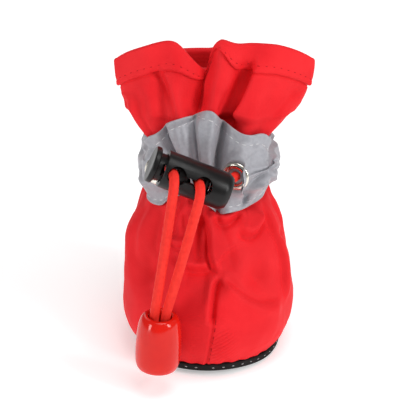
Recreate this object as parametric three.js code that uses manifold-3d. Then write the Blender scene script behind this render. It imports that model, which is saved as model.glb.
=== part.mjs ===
// A drawcord bootie for a small dog, standing empty on its sole.
// Millimetres, +Z up, the toe towards -Y, the origin on the floor under the middle of the sole.
//
// A soft upper runs from the sole's edge to the collar as one hollow wall: a round foot pouch, a cinched
// ankle and a flaring shaft with a turned hem. A reflective band is sewn over the ankle as a casing.
// The drawcord leaves it through two eyelets, passes a two-hole cord lock and ends in a bell.
import * as THREE from "three";
import { mergeVertices } from "three/addons/utils/BufferGeometryUtils.js";
import Module from "manifold-3d";

const wasm = await Module();
wasm.setup();

// Upper: the foot, the ankle and the collar each have their own width and depth.
const footLength = 64.6;
const footWidth = 56.4;
const footAhead = 1.8; // the foot's middle lies this far ahead of the origin
const pouchHeight = 14; // the level where the foot is fullest
const soleTuck = 2.7; // how far the wall draws in from there to the sole
const ankleWidth = 32;
const ankleDepth = 28;
const ankleSetback = 8.6; // the ankle's middle lies this far behind the origin
const collarWidth = 66;
const collarDepth = 17;
const collarSetback = 14.5;
const cordHeight = 63.5; // the level of the drawcord, where the ankle is narrowest
const collarHeight = 105; // the level of the collar's front lobes
const cornerDrop = 12; // how much lower the collar is at its two sides
const backDrop = 12.5; // and at its back
const seamDrop = 10; // and at the front seam
const wall = 1.2;
const hemWidth = 9;
const hemStep = 0.9; // the turned hem stands proud of the wall by this much
const clearance = 0.3; // between pieces that meet

// Sole and insole
const soleThickness = 2.4;
const soleLedge = 0.6; // the sole's edge shows past the wall by this much
const toeSpring = 2;
const heelSpring = 0.7;
const insoleThickness = 1.4;

// Reflective band
const bandWidth = 27;
const bandWall = 1.1;
const bandFold = 3; // the fullness of the band's puffs

// Drawcord and its hardware
const cordDiameter = 3.2;
const eyeletHole = 5;
const eyeletFlange = 9.4;
const eyeletPlate = 0.6;
const lockDiameter = 12.4;
const lockLength = 22.8; // the barrel alone
const lockWall = 1.4;
const lockHole = 6.2;
const lockHoleSpacing = 9;
const lockHoleInset = 4.2; // from the barrel's open end to the middle of its first hole
const plungerTravel = 2.1;
const plungerKnob = 12; // diameter of its pressed end
const plungerKnobThickness = 2;
const bellLength = 20;
const bellDiameter = 14.8;
const bellWall = 1.3;
const bellMouth = 7.5; // diameter of the hole that both cord ends share
const knotDiameter = 8.4;
const lidThickness = 1.6;

const degree = Math.PI / 180;
const cordRadius = cordDiameter / 2;
const rimHeight = soleThickness + clearance;
const bandBottom = cordHeight - bandWidth / 2;
const bandTop = cordHeight + bandWidth / 2;
const shaftHeight = collarHeight - cordHeight;

const fabric = new THREE.MeshStandardMaterial({ color: "#ee2a2f", roughness: 0.72, metalness: 0 });
const reflective = new THREE.MeshStandardMaterial({ color: "#9a9ca3", roughness: 0.55, metalness: 0.1 });
const rubber = new THREE.MeshStandardMaterial({ color: "#17181a", roughness: 0.8, metalness: 0 });
const lining = new THREE.MeshStandardMaterial({ color: "#b5161d", roughness: 0.9, metalness: 0 });
const cordYarn = new THREE.MeshStandardMaterial({ color: "#f03a2c", roughness: 0.65, metalness: 0 });
const blackPlastic = new THREE.MeshStandardMaterial({ color: "#1c1a1b", roughness: 0.42, metalness: 0 });
const redPlastic = new THREE.MeshStandardMaterial({ color: "#e8241c", roughness: 0.22, metalness: 0 });
const nickel = new THREE.MeshStandardMaterial({ color: "#d9d5cc", roughness: 0.25, metalness: 1 });

// Between the foot's size (0) and the ankle's (1), by height as a share of cordHeight.
const footToAnkle = [
  { height: 0.22, width: 0.0, depth: 0.0, setback: 0.0 },
  { height: 0.33, width: 0.04, depth: 0.05, setback: 0.04 },
  { height: 0.46, width: 0.14, depth: 0.18, setback: 0.2 },
  { height: 0.58, width: 0.33, depth: 0.4, setback: 0.46 },
  { height: 0.69, width: 0.55, depth: 0.62, setback: 0.72 },
  { height: 0.79, width: 0.75, depth: 0.79, setback: 0.9 },
  { height: 0.88, width: 0.9, depth: 0.91, setback: 0.97 },
  { height: 1.0, width: 1.0, depth: 1.0, setback: 1.0 },
];

// Between the ankle's size (0) and the collar's (1), by height as a share of the shaft above the cord.
const ankleToCollar = [
  { height: 0.0, width: 0.0, depth: 0.0, setback: 0.0 },
  { height: 0.08, width: 0.12, depth: 0.04, setback: 0.03 },
  { height: 0.16, width: 0.36, depth: 0.1, setback: 0.1 },
  { height: 0.32, width: 0.68, depth: 0.25, setback: 0.3 },
  { height: 0.48, width: 0.81, depth: 0.42, setback: 0.5 },
  { height: 0.65, width: 0.89, depth: 0.62, setback: 0.7 },
  { height: 0.83, width: 0.95, depth: 0.84, setback: 0.87 },
  { height: 1.0, width: 1.0, depth: 1.0, setback: 1.0 },
];

// Deep folds of the front: angle from the toe line at the ankle and at the collar, and half width,
// in degrees; depth at the ankle, halfway up the shaft and at the collar as shares of ankleDepth.
const folds = [
  { name: "centre seam", ankle: -15, collar: -6, width: 9, low: 0.08, halfway: 0.14, high: 0.13 },
  { name: "right valley", ankle: 12, collar: 23, width: 8, low: 0.16, halfway: 0.22, high: 0.05 },
  { name: "left valley", ankle: -38, collar: -32, width: 10, low: 0.12, halfway: 0.08, high: 0.02 },
];
const foldStart = 0.72; // folds begin at this share of cordHeight and are full at the cord

// The band's puffs: angle and half width in degrees, height and half height as shares of bandWidth
// from the cord, fullness as a share of bandFold.
const puffs = [
  { angle: 50, width: 24, height: -0.12, rise: 0.3, fullness: 1.0 },
  { angle: -66, width: 20, height: -0.1, rise: 0.3, fullness: 0.2 },
  { angle: 118, width: 22, height: 0.02, rise: 0.32, fullness: 0.55 },
  { angle: -122, width: 24, height: -0.05, rise: 0.3, fullness: 0.6 },
  { angle: 180, width: 22, height: 0, rise: 0.34, fullness: 0.45 },
];

// How far the band's edges leave their level, by angle in degrees, as shares of bandWidth.
const bandEdges = [
  { angle: -180, top: -0.06, bottom: 0.02 },
  { angle: -140, top: -0.1, bottom: -0.02 },
  { angle: -105, top: -0.28, bottom: 0.04 },
  { angle: -70, top: -0.24, bottom: 0.06 },
  { angle: -38, top: 0.06, bottom: 0.0 },
  { angle: -12, top: 0.2, bottom: 0.02 },
  { angle: 2, top: 0.32, bottom: 0.0 },
  { angle: 16, top: 0.06, bottom: -0.02 },
  { angle: 40, top: 0.0, bottom: -0.02 },
  { angle: 75, top: -0.24, bottom: 0.04 },
  { angle: 105, top: -0.26, bottom: 0.0 },
  { angle: 140, top: -0.08, bottom: -0.02 },
  { angle: 180, top: -0.06, bottom: 0.02 },
];

const smooth = (low, high, x) => THREE.MathUtils.smoothstep(x, low, high);
const mix = THREE.MathUtils.lerp;

// A column of a table at x, by a cubic through its rows that never overshoots them.
function column(rows, key, value, x) {
  if (x <= rows[0][key]) return rows[0][value];
  const last = rows.length - 1;
  if (x >= rows[last][key]) return rows[last][value];
  const i = rows.findIndex((row) => row[key] > x) - 1;
  const slope = (k) => (rows[k + 1][value] - rows[k][value]) / (rows[k + 1][key] - rows[k][key]);
  const tangent = (k) => {
    if (k === 0 || k === last) return 0;
    const product = slope(k - 1) * slope(k);
    return product > 0 ? (2 * product) / (slope(k - 1) + slope(k)) : 0;
  };
  const span = rows[i + 1][key] - rows[i][key];
  const t = (x - rows[i][key]) / span;
  const bend = t * t * (3 - 2 * t);
  return (
    mix(rows[i][value], rows[i + 1][value], bend) +
    span * (t * (1 - t) * (1 - t) * tangent(i) - t * t * (1 - t) * tangent(i + 1))
  );
}

// The signed difference of two angles, between minus and plus half a turn.
const turn = (angle, from) => Math.atan2(Math.sin(angle - from), Math.cos(angle - from));

// A bell curve: 1 at 0, and 1/e at a distance of one width.
const bump = (x, width) => Math.exp(-((x / width) ** 2));

// The sole's underside rises towards the toe and a little towards the heel.
function spring(y) {
  const toe = footLength / 2 + footAhead;
  const heel = footLength / 2 - footAhead;
  return toeSpring * smooth(0.4 * toe, toe, -y) ** 1.5 + heelSpring * smooth(0.6 * heel, heel, y);
}

// The upper's outer form at an angle from the toe line and a height above the floor, with its folds
// at their full depth (folded 1) or bridged (folded 0).
function form(angle, height, folded = 1) {
  const low = height / cordHeight;
  const high = (height - cordHeight) / shaftHeight;
  const shaft = height > cordHeight;
  const widthShare = column(shaft ? ankleToCollar : footToAnkle, "height", "width", shaft ? high : low);
  const depthShare = column(shaft ? ankleToCollar : footToAnkle, "height", "depth", shaft ? high : low);
  const back = column(shaft ? ankleToCollar : footToAnkle, "height", "setback", shaft ? high : low);
  const tuck = soleTuck * (Math.max(0, pouchHeight - height) / (pouchHeight - rimHeight)) ** 2;
  const half = mix(shaft ? ankleWidth : footWidth, shaft ? collarWidth : ankleWidth, widthShare) / 2 - tuck;
  const reach = mix(shaft ? ankleDepth : footLength, shaft ? collarDepth : ankleDepth, depthShare) / 2 - tuck;
  const middle = mix(shaft ? ankleSetback : -footAhead, shaft ? collarSetback : ankleSetback, back);
  const lens = 1 + 0.45 * smooth(0.2, 1, high);
  const cos = Math.cos(angle);
  const egg = 0.04 * (1 - smooth(0.3, 0.8, low)) * Math.sin(2 * angle);
  const x = half * (Math.sin(angle) + egg);
  const y = middle - reach * Math.sign(cos) * Math.abs(cos) ** lens;

  // Each fold pushes the wall towards the shaft's middle.
  let inward = 0;
  for (const fold of folded ? folds : []) {
    const at = mix(fold.ankle, fold.collar, smooth(0, 0.9, high)) * degree;
    const ends = mix(fold.low, fold.high, smooth(0.1, 1, high));
    const depth = mix(ends, fold.halfway, bump(high - 0.5, 0.3)) * ankleDepth;
    inward += folded * depth * smooth(foldStart, 1, low) * bump(turn(angle, at), fold.width * degree);
  }
  const toMiddle = new THREE.Vector2(-x * 0.35, middle - y).normalize();

  const front = Math.max(0, cos) ** 1.5;
  const behind = Math.max(0, -cos);
  const notch = seamDrop * bump(turn(angle, folds[0].collar * degree), 1.1 * folds[0].width * degree);
  const level = cornerDrop * (1 - front) + (backDrop - cornerDrop) * behind + notch;
  const dip = level * smooth(0.25, 0.8, high);
  const lift = spring(y) * (1 - smooth(rimHeight, 2 * pouchHeight, height));
  return new THREE.Vector3(x + toMiddle.x * inward, y + toMiddle.y * inward, height - dip + lift);
}

function outward(angle, height, folded) {
  const step = 0.4;
  const turned = step / 20;
  const around = form(angle + turned, height, folded).sub(form(angle - turned, height, folded));
  const up = form(angle, height + step, folded).sub(form(angle, height - step, folded));
  return around.cross(up).normalize();
}

// A point of the wall's outer face moved out along the wall's normal.
const skin = (angle, height, out) => form(angle, height).addScaledVector(outward(angle, height), out);

// Angles round the boot, closer together at the front where the folds are.
function anglesAround(count, gather) {
  return Array.from({ length: count }, (_, i) => {
    const t = (2 * Math.PI * i) / count;
    return t - gather * Math.sin(t);
  });
}

// A closed surface from rings of points that follow each other and join up again, as a tube's wall does.
function ringSolid(rings) {
  const count = rings[0].length;
  const index = [];
  rings.forEach((_, j) => {
    const next = (j + 1) % rings.length;
    for (let i = 0; i < count; i++) {
      const right = (i + 1) % count;
      const corners = [j * count + i, j * count + right, next * count + right, next * count + i];
      index.push(corners[0], corners[1], corners[2], corners[0], corners[2], corners[3]);
    }
  });
  return geometryOf(rings.flat(), index);
}

// A closed surface from rings between two end points, from the bottom one to the top one.
function cappedSolid(bottom, rings, top) {
  const count = rings[0].length;
  const points = [bottom, ...rings.flat(), top];
  const index = [];
  for (let i = 0; i < count; i++) {
    const right = (i + 1) % count;
    index.push(0, 1 + right, 1 + i);
    rings.slice(1).forEach((_, j) => {
      const low = 1 + j * count;
      const high = low + count;
      index.push(low + i, low + right, high + right, low + i, high + right, high + i);
    });
    const last = 1 + (rings.length - 1) * count;
    index.push(last + i, last + right, points.length - 1);
  }
  return geometryOf(points, index);
}

function geometryOf(points, index) {
  const geometry = new THREE.BufferGeometry().setFromPoints(points);
  geometry.setIndex(index);
  return geometry;
}

// A solid for booleans, from a closed geometry.
function solidOf(geometry) {
  const bare = geometry.clone();
  bare.deleteAttribute("normal");
  bare.deleteAttribute("uv");
  const merged = mergeVertices(bare, 1e-4);
  return new wasm.Manifold(
    new wasm.Mesh({
      numProp: 3,
      vertProperties: new Float32Array(merged.attributes.position.array),
      triVerts: new Uint32Array(merged.index.array),
    }),
  );
}

function geometryFromSolid(solid) {
  const mesh = solid.getMesh();
  const geometry = new THREE.BufferGeometry();
  geometry.setAttribute("position", new THREE.BufferAttribute(mesh.vertProperties, 3));
  geometry.setIndex(new THREE.BufferAttribute(mesh.triVerts, 1));
  return geometry;
}

// The body that is left of a cut piece, without the loose crumbs of the cut.
function largestBody(solid) {
  return solid.decompose().sort((a, b) => b.volume() - a.volume())[0];
}

function piece(name, geometry, material) {
  const mesh = new THREE.Mesh(geometry, material);
  mesh.name = name;
  return mesh;
}

// Upper: one hollow wall, open at the collar and underneath.
const hemEdge = collarHeight - hemWidth;
const footShares = [0, 0.05, 0.13, 0.24, 0.37, 0.5, 0.63, 0.76, 0.88];
const footLevels = footShares.map((share) => mix(rimHeight, bandBottom, share));
const ankleLevels = [0, 0.25, 0.5, 0.75, 1].map((share) => mix(bandBottom, bandTop, share));
const shaftLevels = [0.25, 0.5, 0.75].map((share) => mix(bandTop, hemEdge, share));
const upperAngles = anglesAround(50, 0.35);
const ring = (height, out) => upperAngles.map((angle) => skin(angle, height, out));

function outerRings(out) {
  return [
    ...[...footLevels, ...ankleLevels, ...shaftLevels, hemEdge - 0.6].map((height) => ring(height, out)),
    ...[hemEdge, hemEdge + hemWidth / 2, collarHeight].map((height) => ring(height, out + hemStep)),
  ];
}

function makeUpper() {
  const inner = [
    ...[collarHeight, hemEdge + hemWidth * 0.4, shaftLevels[2], shaftLevels[1], bandTop, cordHeight, bandBottom],
    ...footLevels.filter((_, i) => i % 2 === 0).reverse(),
  ];
  return ringSolid([...outerRings(0), ...inner.map((height) => ring(height, -wall))]);
}

// The whole space that the upper takes up, with a little room round it.
const upperRoom = () =>
  solidOf(cappedSolid(new THREE.Vector3(0, 0, rimHeight), outerRings(clearance), new THREE.Vector3(0, collarSetback, collarHeight)));

// The outline that the wall stands on, grown or shrunk sideways.
function soleOutline(grow, count) {
  return anglesAround(count, 0).map((angle) => {
    const rim = form(angle, rimHeight);
    const side = new THREE.Vector2(Math.sin(angle) / footWidth, -Math.cos(angle) / footLength).normalize();
    return new THREE.Vector2(rim.x + grow * side.x, rim.y + grow * side.y);
  });
}

// A plate between two levels over the sole's outline, following the toe and heel spring.
function plate(outline, bottom, top, round) {
  const edgeLevels = [
    { share: 0.55, level: bottom },
    { share: 1, level: bottom, inset: round },
    { share: 1, level: bottom + round, inset: 0 },
    { share: 1, level: top - round, inset: 0 },
    { share: 1, level: top, inset: round },
    { share: 0.55, level: top },
  ];
  const rings = edgeLevels.map(({ share, level, inset = 0 }) =>
    outline.map((point) => {
      const shrink = share * (1 - inset / point.length());
      const y = point.y * shrink;
      return new THREE.Vector3(point.x * shrink, y, level + spring(y));
    }),
  );
  return cappedSolid(new THREE.Vector3(0, 0, bottom), rings, new THREE.Vector3(0, 0, top));
}

const makeSole = () => plate(soleOutline(soleLedge, 40), 0, soleThickness, 0.5);
const makeInsole = () =>
  plate(soleOutline(-wall - 2 * clearance, 32), rimHeight, rimHeight + insoleThickness, 0.3);

// Reflective band: a casing that stands off the wall along the cord and is sewn down at both edges.
// Between its two eyelets it is gathered flat against the wall.
const channel = cordDiameter + 4 * clearance;

function bandHeightAt(angle, share) {
  const turned = turn(angle, 0) / degree;
  const top = bandTop + bandWidth * column(bandEdges, "angle", "top", turned);
  const bottom = bandBottom + bandWidth * column(bandEdges, "angle", "bottom", turned);
  return mix(bottom, top, share);
}

function bandStandOff(angle, share) {
  const height = bandHeightAt(angle, share);
  const turned = turn(angle, 0) / degree;
  const gathered = smooth(-56, -40, turned) * (1 - smooth(14, 28, turned));
  const roomy = smooth(0, 0.3, share) * (1 - smooth(0.7, 1, share)) * (1 - gathered);
  let full = channel * roomy;
  for (const puff of puffs) {
    const up = (height - cordHeight) / bandWidth - puff.height;
    full += bandFold * puff.fullness * roomy * bump(turn(angle, puff.angle * degree), puff.width * degree) * bump(up, puff.rise);
  }
  return full;
}

// A point of the band, which bridges part of each fold, at a distance outside its inner face.
const bridged = 0.75;

function overBand(angle, share, out) {
  const height = bandHeightAt(angle, share);
  const way = outward(angle, height, 0);
  return form(angle, height, bridged).addScaledVector(way, bandStandOff(angle, share) + out);
}

// Both eyelets: angle from the toe line, and how far each is turned towards the middle, in degrees.
const eyelets = [
  { name: "eyelet_left", angle: -52, turned: -26 },
  { name: "eyelet_right", angle: 27, turned: 46 },
].map(({ name, angle, turned }) => {
  const at = angle * degree;
  const up = new THREE.Vector3(0, 0, 1);
  const axis = outward(at, bandHeightAt(at, 0.5), 0).applyAxisAngle(up, -turned * degree);
  return { name, seat: overBand(at, 0.5, 0), axis };
});

// The band is flattened to a plane round each eyelet so that its flanges lie flat.
function bandPoint(angle, share, out) {
  const point = overBand(angle, share, out);
  for (const { seat, axis } of eyelets) {
    const offset = point.clone().sub(seat);
    const along = offset.dot(axis);
    const flat = 1 - smooth(eyeletFlange * 0.55, eyeletFlange * 0.95, offset.length());
    point.addScaledVector(axis, flat * (out - along));
  }
  return point;
}

// A geometry made along +Z, placed at a point with its +Z along an axis.
function along(geometry, place, axis) {
  const turned = new THREE.Quaternion().setFromUnitVectors(new THREE.Vector3(0, 0, 1), axis);
  return geometry.applyQuaternion(turned).translate(place.x, place.y, place.z);
}

// A cylinder made along +Z, with its middle at the origin.
function rod(radius, length, sides) {
  return new THREE.CylinderGeometry(radius, radius, length, sides).rotateX(Math.PI / 2);
}

// The band lies between two larger forms, and is cut for its eyelets.
function makeBand() {
  const shares = [0, 0.14, 0.28, 0.42, 0.5, 0.58, 0.72, 0.86, 1];
  const around = (share, out) => upperAngles.map((angle) => bandPoint(angle, share, out));
  const middle = (height) => new THREE.Vector3(0, ankleSetback, height);
  const outer = cappedSolid(middle(bandBottom), shares.map((share) => around(share, bandWall)), middle(bandTop));
  const longer = [-0.2, ...shares, 1.2];
  const inner = cappedSolid(middle(bandBottom - bandWidth / 2), longer.map((share) => around(share, 0)),
    middle(bandTop + bandWidth / 2));
  let band = solidOf(outer).subtract(solidOf(inner)).subtract(upperRoom());
  band = band.subtract(solidOf(makeCasingCord(cordRadius + clearance)));
  for (const { seat, axis } of eyelets) {
    const barrel = rod(eyeletHole / 2 + eyeletPlate + clearance, 4 * bandWall, 20);
    const flangeRoom = () => rod(eyeletFlange / 2 + clearance, 2 * bandWall, 20);
    const cuts = [barrel, flangeRoom().translate(0, 0, 2.05 * bandWall), flangeRoom().translate(0, 0, -1.05 * bandWall)];
    for (const cut of cuts) band = band.subtract(solidOf(along(cut, seat, axis)));
  }
  return geometryFromSolid(largestBody(band.simplify(0.02)));
}

// A lathe about +Z, from radius and height pairs that close on themselves or on the axis.
function lathe(profile, sides) {
  const points = profile.map(([radius, height]) => new THREE.Vector2(radius, height));
  return new THREE.LatheGeometry(points, sides).rotateX(Math.PI / 2);
}

// An eyelet is a short barrel with a flange on each face of the band.
function makeEyelet({ seat, axis }) {
  const hole = eyeletHole / 2;
  const rim = hole + eyeletPlate;
  const flange = eyeletFlange / 2;
  const outside = bandWall + clearance;
  const inside = -clearance;
  const profile = [
    [hole, inside - eyeletPlate],
    [flange * 0.9, inside - eyeletPlate],
    [flange * 0.9, inside],
    [rim, inside],
    [rim, outside],
    [flange, outside],
    [flange, outside + eyeletPlate * 0.5],
    [(hole + flange) / 2, outside + eyeletPlate * 1.5],
    [hole, outside + eyeletPlate * 0.7],
  ];
  return along(lathe([...profile, profile[0]], 24), seat, axis);
}

// The stretch of cord inside the casing, round the back of the ankle from one eyelet to the other.
function makeCasingCord(radius) {
  const start = 66 * degree;
  const end = 270 * degree;
  const steps = 30;
  const points = Array.from({ length: steps + 1 }, (_, i) => {
    const angle = mix(start, end, i / steps);
    const height = bandHeightAt(angle, 0.5);
    const way = outward(angle, height, 0);
    return form(angle, height, bridged).addScaledVector(way, 1.5 * clearance + cordRadius);
  });
  const path = new THREE.CatmullRomCurve3(points);
  const section = new THREE.Shape().absarc(0, 0, radius, 0, 2 * Math.PI);
  return new THREE.ExtrudeGeometry(section, { steps, curveSegments: 4, bevelEnabled: false, extrudePath: path });
}

// Cord lock: its own frame has +X along the barrel towards the closed end, +Z along the two holes
// towards the front, and the origin on the axis at the first hole.
const lockPlace = new THREE.Vector3(-10.4, -20.8, 70.2);
const lockAxis = new THREE.Vector3(0.92, -0.03, -0.39).normalize();
const lockFacing = 20 * degree; // the holes look up by this much
const lockFront = new THREE.Vector3(0, -Math.cos(lockFacing), Math.sin(lockFacing));
lockFront.addScaledVector(lockAxis, -lockFront.dot(lockAxis)).normalize();
const lockFrame = new THREE.Matrix4()
  .makeBasis(lockAxis, lockFront.clone().cross(lockAxis), lockFront)
  .setPosition(lockPlace);
const cordInHole = cordRadius + clearance - lockHole / 2; // each cord lies at its hole's outer side

// Bell: both cord ends come in through its mouth.
const bellMouthAt = new THREE.Vector3(-15.4, -38.2, 27.2);
const bellAxis = new THREE.Vector3(-0.06, -0.06, -1).normalize(); // from the mouth to the lid

// Drawcord: each free length leaves its eyelet, passes its hole in the lock and falls to the bell.
// Its slack points are given in millimetres from the lock's front (over, fall) and its place in the
// bell's mouth from the bell's axis (aside).
const cordRuns = [
  { name: "cord_left", eyelet: 0, hole: 0, aside: -1.8 },
  { name: "cord_right", eyelet: 1, hole: lockHoleSpacing, aside: 1.8 },
];

function makeCord({ eyelet, hole, aside }) {
  const { seat, axis } = eyelets[eyelet];
  const face = bandWall + clearance + eyeletPlate / 2;
  const inLock = (z) => new THREE.Vector3(hole + cordInHole, 0, z).applyMatrix4(lockFrame);
  const exit = inLock(lockDiameter * 0.66);
  const mouth = bellMouthAt.clone().add(new THREE.Vector3(aside, 0, 0.5));
  const over = exit.clone().add(new THREE.Vector3(0, -2.4, -2.2));
  const fall = (share) =>
    over.clone().lerp(mouth, share).add(new THREE.Vector3(0, -1.6 * Math.sin(share * Math.PI), 0));
  const path = new THREE.CatmullRomCurve3([
    ...[0, 0.5, 1].map((share) => seat.clone().addScaledVector(axis, face + share * cordDiameter)),
    ...[-0.72, -0.5, -0.2, 0.2, 0.45].map((share) => inLock(lockDiameter * share)),
    exit,
    over,
    ...[0.12, 0.35, 0.65, 0.9].map(fall),
    mouth,
    mouth.clone().addScaledVector(bellAxis, 2.6),
  ]);
  const section = new THREE.Shape().absarc(0, 0, cordRadius, 0, 2 * Math.PI);
  return new THREE.ExtrudeGeometry(section, { steps: 30, curveSegments: 4, bevelEnabled: false, extrudePath: path });
}

// A lathe about the lock's own X axis.
const lockLathe = (profile, sides) => lathe(profile, sides).rotateY(Math.PI / 2);

function makeBarrel() {
  const outer = lockDiameter / 2;
  const bore = outer - lockWall;
  const open = -lockHoleInset;
  const closed = open + lockLength;
  const edge = 0.6;
  const profile = [
    [0, closed - lockWall],
    [bore, closed - lockWall],
    [bore, open],
    [outer - edge / 2, open],
    [outer, open + edge / 2],
    [outer, closed - edge],
    [outer - edge, closed],
    [0, closed],
  ];
  let barrel = solidOf(lockLathe(profile, 28));
  for (const place of [0, lockHoleSpacing]) {
    barrel = barrel.subtract(solidOf(rod(lockHole / 2, 2 * lockDiameter, 20).translate(place, 0, 0)));
  }
  const bridge = new THREE.BoxGeometry(lockHoleSpacing, lockHole * 0.3, lockDiameter * 2);
  return geometryFromSolid(barrel.subtract(solidOf(bridge.translate(lockHoleSpacing / 2, 0, 0))));
}

// The plunger's slots clear the cords at rest and pressed, and pinch them towards the open end.
function makePlunger() {
  const radius = lockDiameter / 2 - lockWall - clearance;
  const knob = plungerKnob / 2;
  const knobInner = -lockHoleInset - plungerTravel - clearance;
  const knobOuter = knobInner - plungerKnobThickness;
  const slotLow = cordInHole - cordRadius - clearance - plungerTravel;
  const slotHigh = cordInHole + cordRadius + clearance;
  const end = lockHoleSpacing + slotHigh + 1;
  const profile = [
    [0, knobOuter],
    [knob - 0.5, knobOuter],
    [knob, knobOuter + 0.5],
    [knob, knobInner],
    [radius, knobInner + 0.01],
    [radius, end],
    [0, end],
  ];
  let plunger = solidOf(lockLathe(profile, 24));
  const slotWidth = cordDiameter + 2 * clearance;
  for (const place of [0, lockHoleSpacing]) {
    const slot = new THREE.BoxGeometry(slotHigh - slotLow, slotWidth, 2 * lockDiameter);
    plunger = plunger.subtract(solidOf(slot.translate(place + (slotLow + slotHigh) / 2, 0, 0)));
  }
  return geometryFromSolid(plunger);
}

// The bell is open below, and a lid closes it under the cords' knot.
function makeBell() {
  const mouth = bellMouth / 2;
  const full = bellDiameter / 2;
  const profile = [
    [mouth, 0],
    [mouth + 0.9, 0],
    [full * 0.8, bellLength * 0.14],
    [full * 0.95, bellLength * 0.32],
    [full, bellLength * 0.55],
    [full, bellLength * 0.78],
    [full * 0.9, bellLength * 0.94],
    [full * 0.78, bellLength],
    [full * 0.78 - bellWall * 0.8, bellLength],
    [full - bellWall, bellLength * 0.74],
    [full - bellWall, bellLength * 0.5],
    [full * 0.95 - bellWall, bellLength * 0.34],
    [mouth, bellWall * 1.2],
  ];
  return along(lathe([...profile, profile[0]], 24), bellMouthAt, bellAxis);
}

function makeKnot() {
  const knot = new THREE.SphereGeometry(knotDiameter / 2, 14, 8).rotateX(Math.PI / 2);
  return along(knot.translate(0, 0, bellWall * 1.2 + clearance + knotDiameter / 2 + 1), bellMouthAt, bellAxis);
}

function makeLid() {
  const seat = bellDiameter * 0.39 - bellWall * 0.8 - clearance;
  const low = bellLength - lidThickness * 0.6;
  const profile = [
    [0, low],
    [seat, low],
    [seat, low + lidThickness * 0.7],
    [seat * 0.6, low + lidThickness],
    [seat * 0.35, low + lidThickness * 1.8],
    [0, low + lidThickness * 2],
  ];
  return along(lathe(profile, 20), bellMouthAt, bellAxis);
}

const bootie = new THREE.Group();
bootie.add(
  piece("outsole", makeSole(), rubber),
  piece("insole", makeInsole(), lining),
  piece("upper", makeUpper(), fabric),
  piece("ankle_band", makeBand(), reflective),
  piece("casing_cord", makeCasingCord(cordRadius), cordYarn),
);
for (const eyelet of eyelets) bootie.add(piece(eyelet.name, makeEyelet(eyelet), nickel));
for (const run of cordRuns) bootie.add(piece(run.name, makeCord(run), cordYarn));

const lock = new THREE.Group();
lock.add(piece("lock_barrel", makeBarrel(), blackPlastic), piece("lock_plunger", makePlunger(), blackPlastic));
lock.applyMatrix4(lockFrame);
bootie.add(lock);

bootie.add(
  piece("bell", makeBell(), redPlastic),
  piece("bell_lid", makeLid(), redPlastic),
  piece("cord_knot", makeKnot(), cordYarn),
);

export default bootie;
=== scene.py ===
# %% [markdown]
# # A drawcord bootie for a small dog
#
# This bootie is sewn from thin red nylon. A round foot stands on a black rubber sole, a drawcord gathers
# the ankle inside a grey reflective band, and a wide collar flares above it. A cord lock and a bell hang
# at the front. Almost everything is cloth, so the lesson is about one idea: a cloth form is a function of
# the angle round the leg and the height, and every fold is a soft trough added to that function.

import math

import bpy
import numpy as np
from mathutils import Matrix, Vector


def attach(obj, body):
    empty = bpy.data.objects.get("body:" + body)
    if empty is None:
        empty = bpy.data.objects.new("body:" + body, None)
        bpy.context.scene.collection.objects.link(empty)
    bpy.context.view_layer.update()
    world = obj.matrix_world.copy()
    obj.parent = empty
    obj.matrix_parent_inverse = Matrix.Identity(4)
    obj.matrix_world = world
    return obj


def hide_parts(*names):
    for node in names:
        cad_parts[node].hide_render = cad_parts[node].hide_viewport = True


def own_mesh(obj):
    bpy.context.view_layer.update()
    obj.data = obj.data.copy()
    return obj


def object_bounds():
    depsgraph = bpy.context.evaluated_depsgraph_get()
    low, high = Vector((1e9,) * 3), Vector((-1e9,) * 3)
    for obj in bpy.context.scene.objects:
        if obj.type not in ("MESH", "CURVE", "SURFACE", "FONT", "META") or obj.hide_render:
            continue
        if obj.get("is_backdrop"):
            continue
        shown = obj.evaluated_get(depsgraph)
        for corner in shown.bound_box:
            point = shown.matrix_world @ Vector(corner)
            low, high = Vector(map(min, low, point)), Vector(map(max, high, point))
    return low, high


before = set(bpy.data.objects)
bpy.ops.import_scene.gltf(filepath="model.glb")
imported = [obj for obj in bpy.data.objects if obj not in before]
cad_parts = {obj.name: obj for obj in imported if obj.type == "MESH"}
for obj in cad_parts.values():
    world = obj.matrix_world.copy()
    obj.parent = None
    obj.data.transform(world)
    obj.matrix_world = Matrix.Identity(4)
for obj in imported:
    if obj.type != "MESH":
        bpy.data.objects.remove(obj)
cad_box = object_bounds()
mm = 0.001

# %% [markdown]
# ## The camera and the light
#
# The picture is taken from straight in front of the toe and from 30 degrees above, with a long lens, so
# there is little perspective. The scene is made first so that every later piece can be judged in it. Two
# tall soft lights at the sides give the glossy bell its two upright reflections, and a large light above
# keeps the shadows of the cloth gentle.

# %% Camera
elevation = math.radians(30)
camera_distance = 1.15
look_at = Vector((0.0, -0.004, 0.0475))
seen_height = 0.136  # this much of the scene fills the height of the picture

camera_data = bpy.data.cameras.new("camera")
camera_data.sensor_width = 36
camera_data.lens = 36 * camera_distance / seen_height
camera = bpy.data.objects.new("camera", camera_data)
bpy.context.scene.collection.objects.link(camera)
back = Vector((0, -math.cos(elevation), math.sin(elevation)))
camera.location = look_at + camera_distance * back
camera.rotation_euler = back.to_track_quat("Z", "Y").to_euler()
bpy.context.scene.camera = camera
print("camera: lens", round(camera_data.lens), "mm")


# %% Lights
middle = Vector((0, 0, 0.05))


def area_light(name, place, size, power):
    """A rectangular soft light at a place, turned so that it faces the middle of the bootie."""
    data = bpy.data.lights.new(name, "AREA")
    data.shape = "RECTANGLE"
    data.size, data.size_y = size
    data.energy = power
    light = bpy.data.objects.new(name, data)
    light.location = place
    light.rotation_euler = (Vector(place) - middle).to_track_quat("Z", "Y").to_euler()
    bpy.context.scene.collection.objects.link(light)


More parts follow.
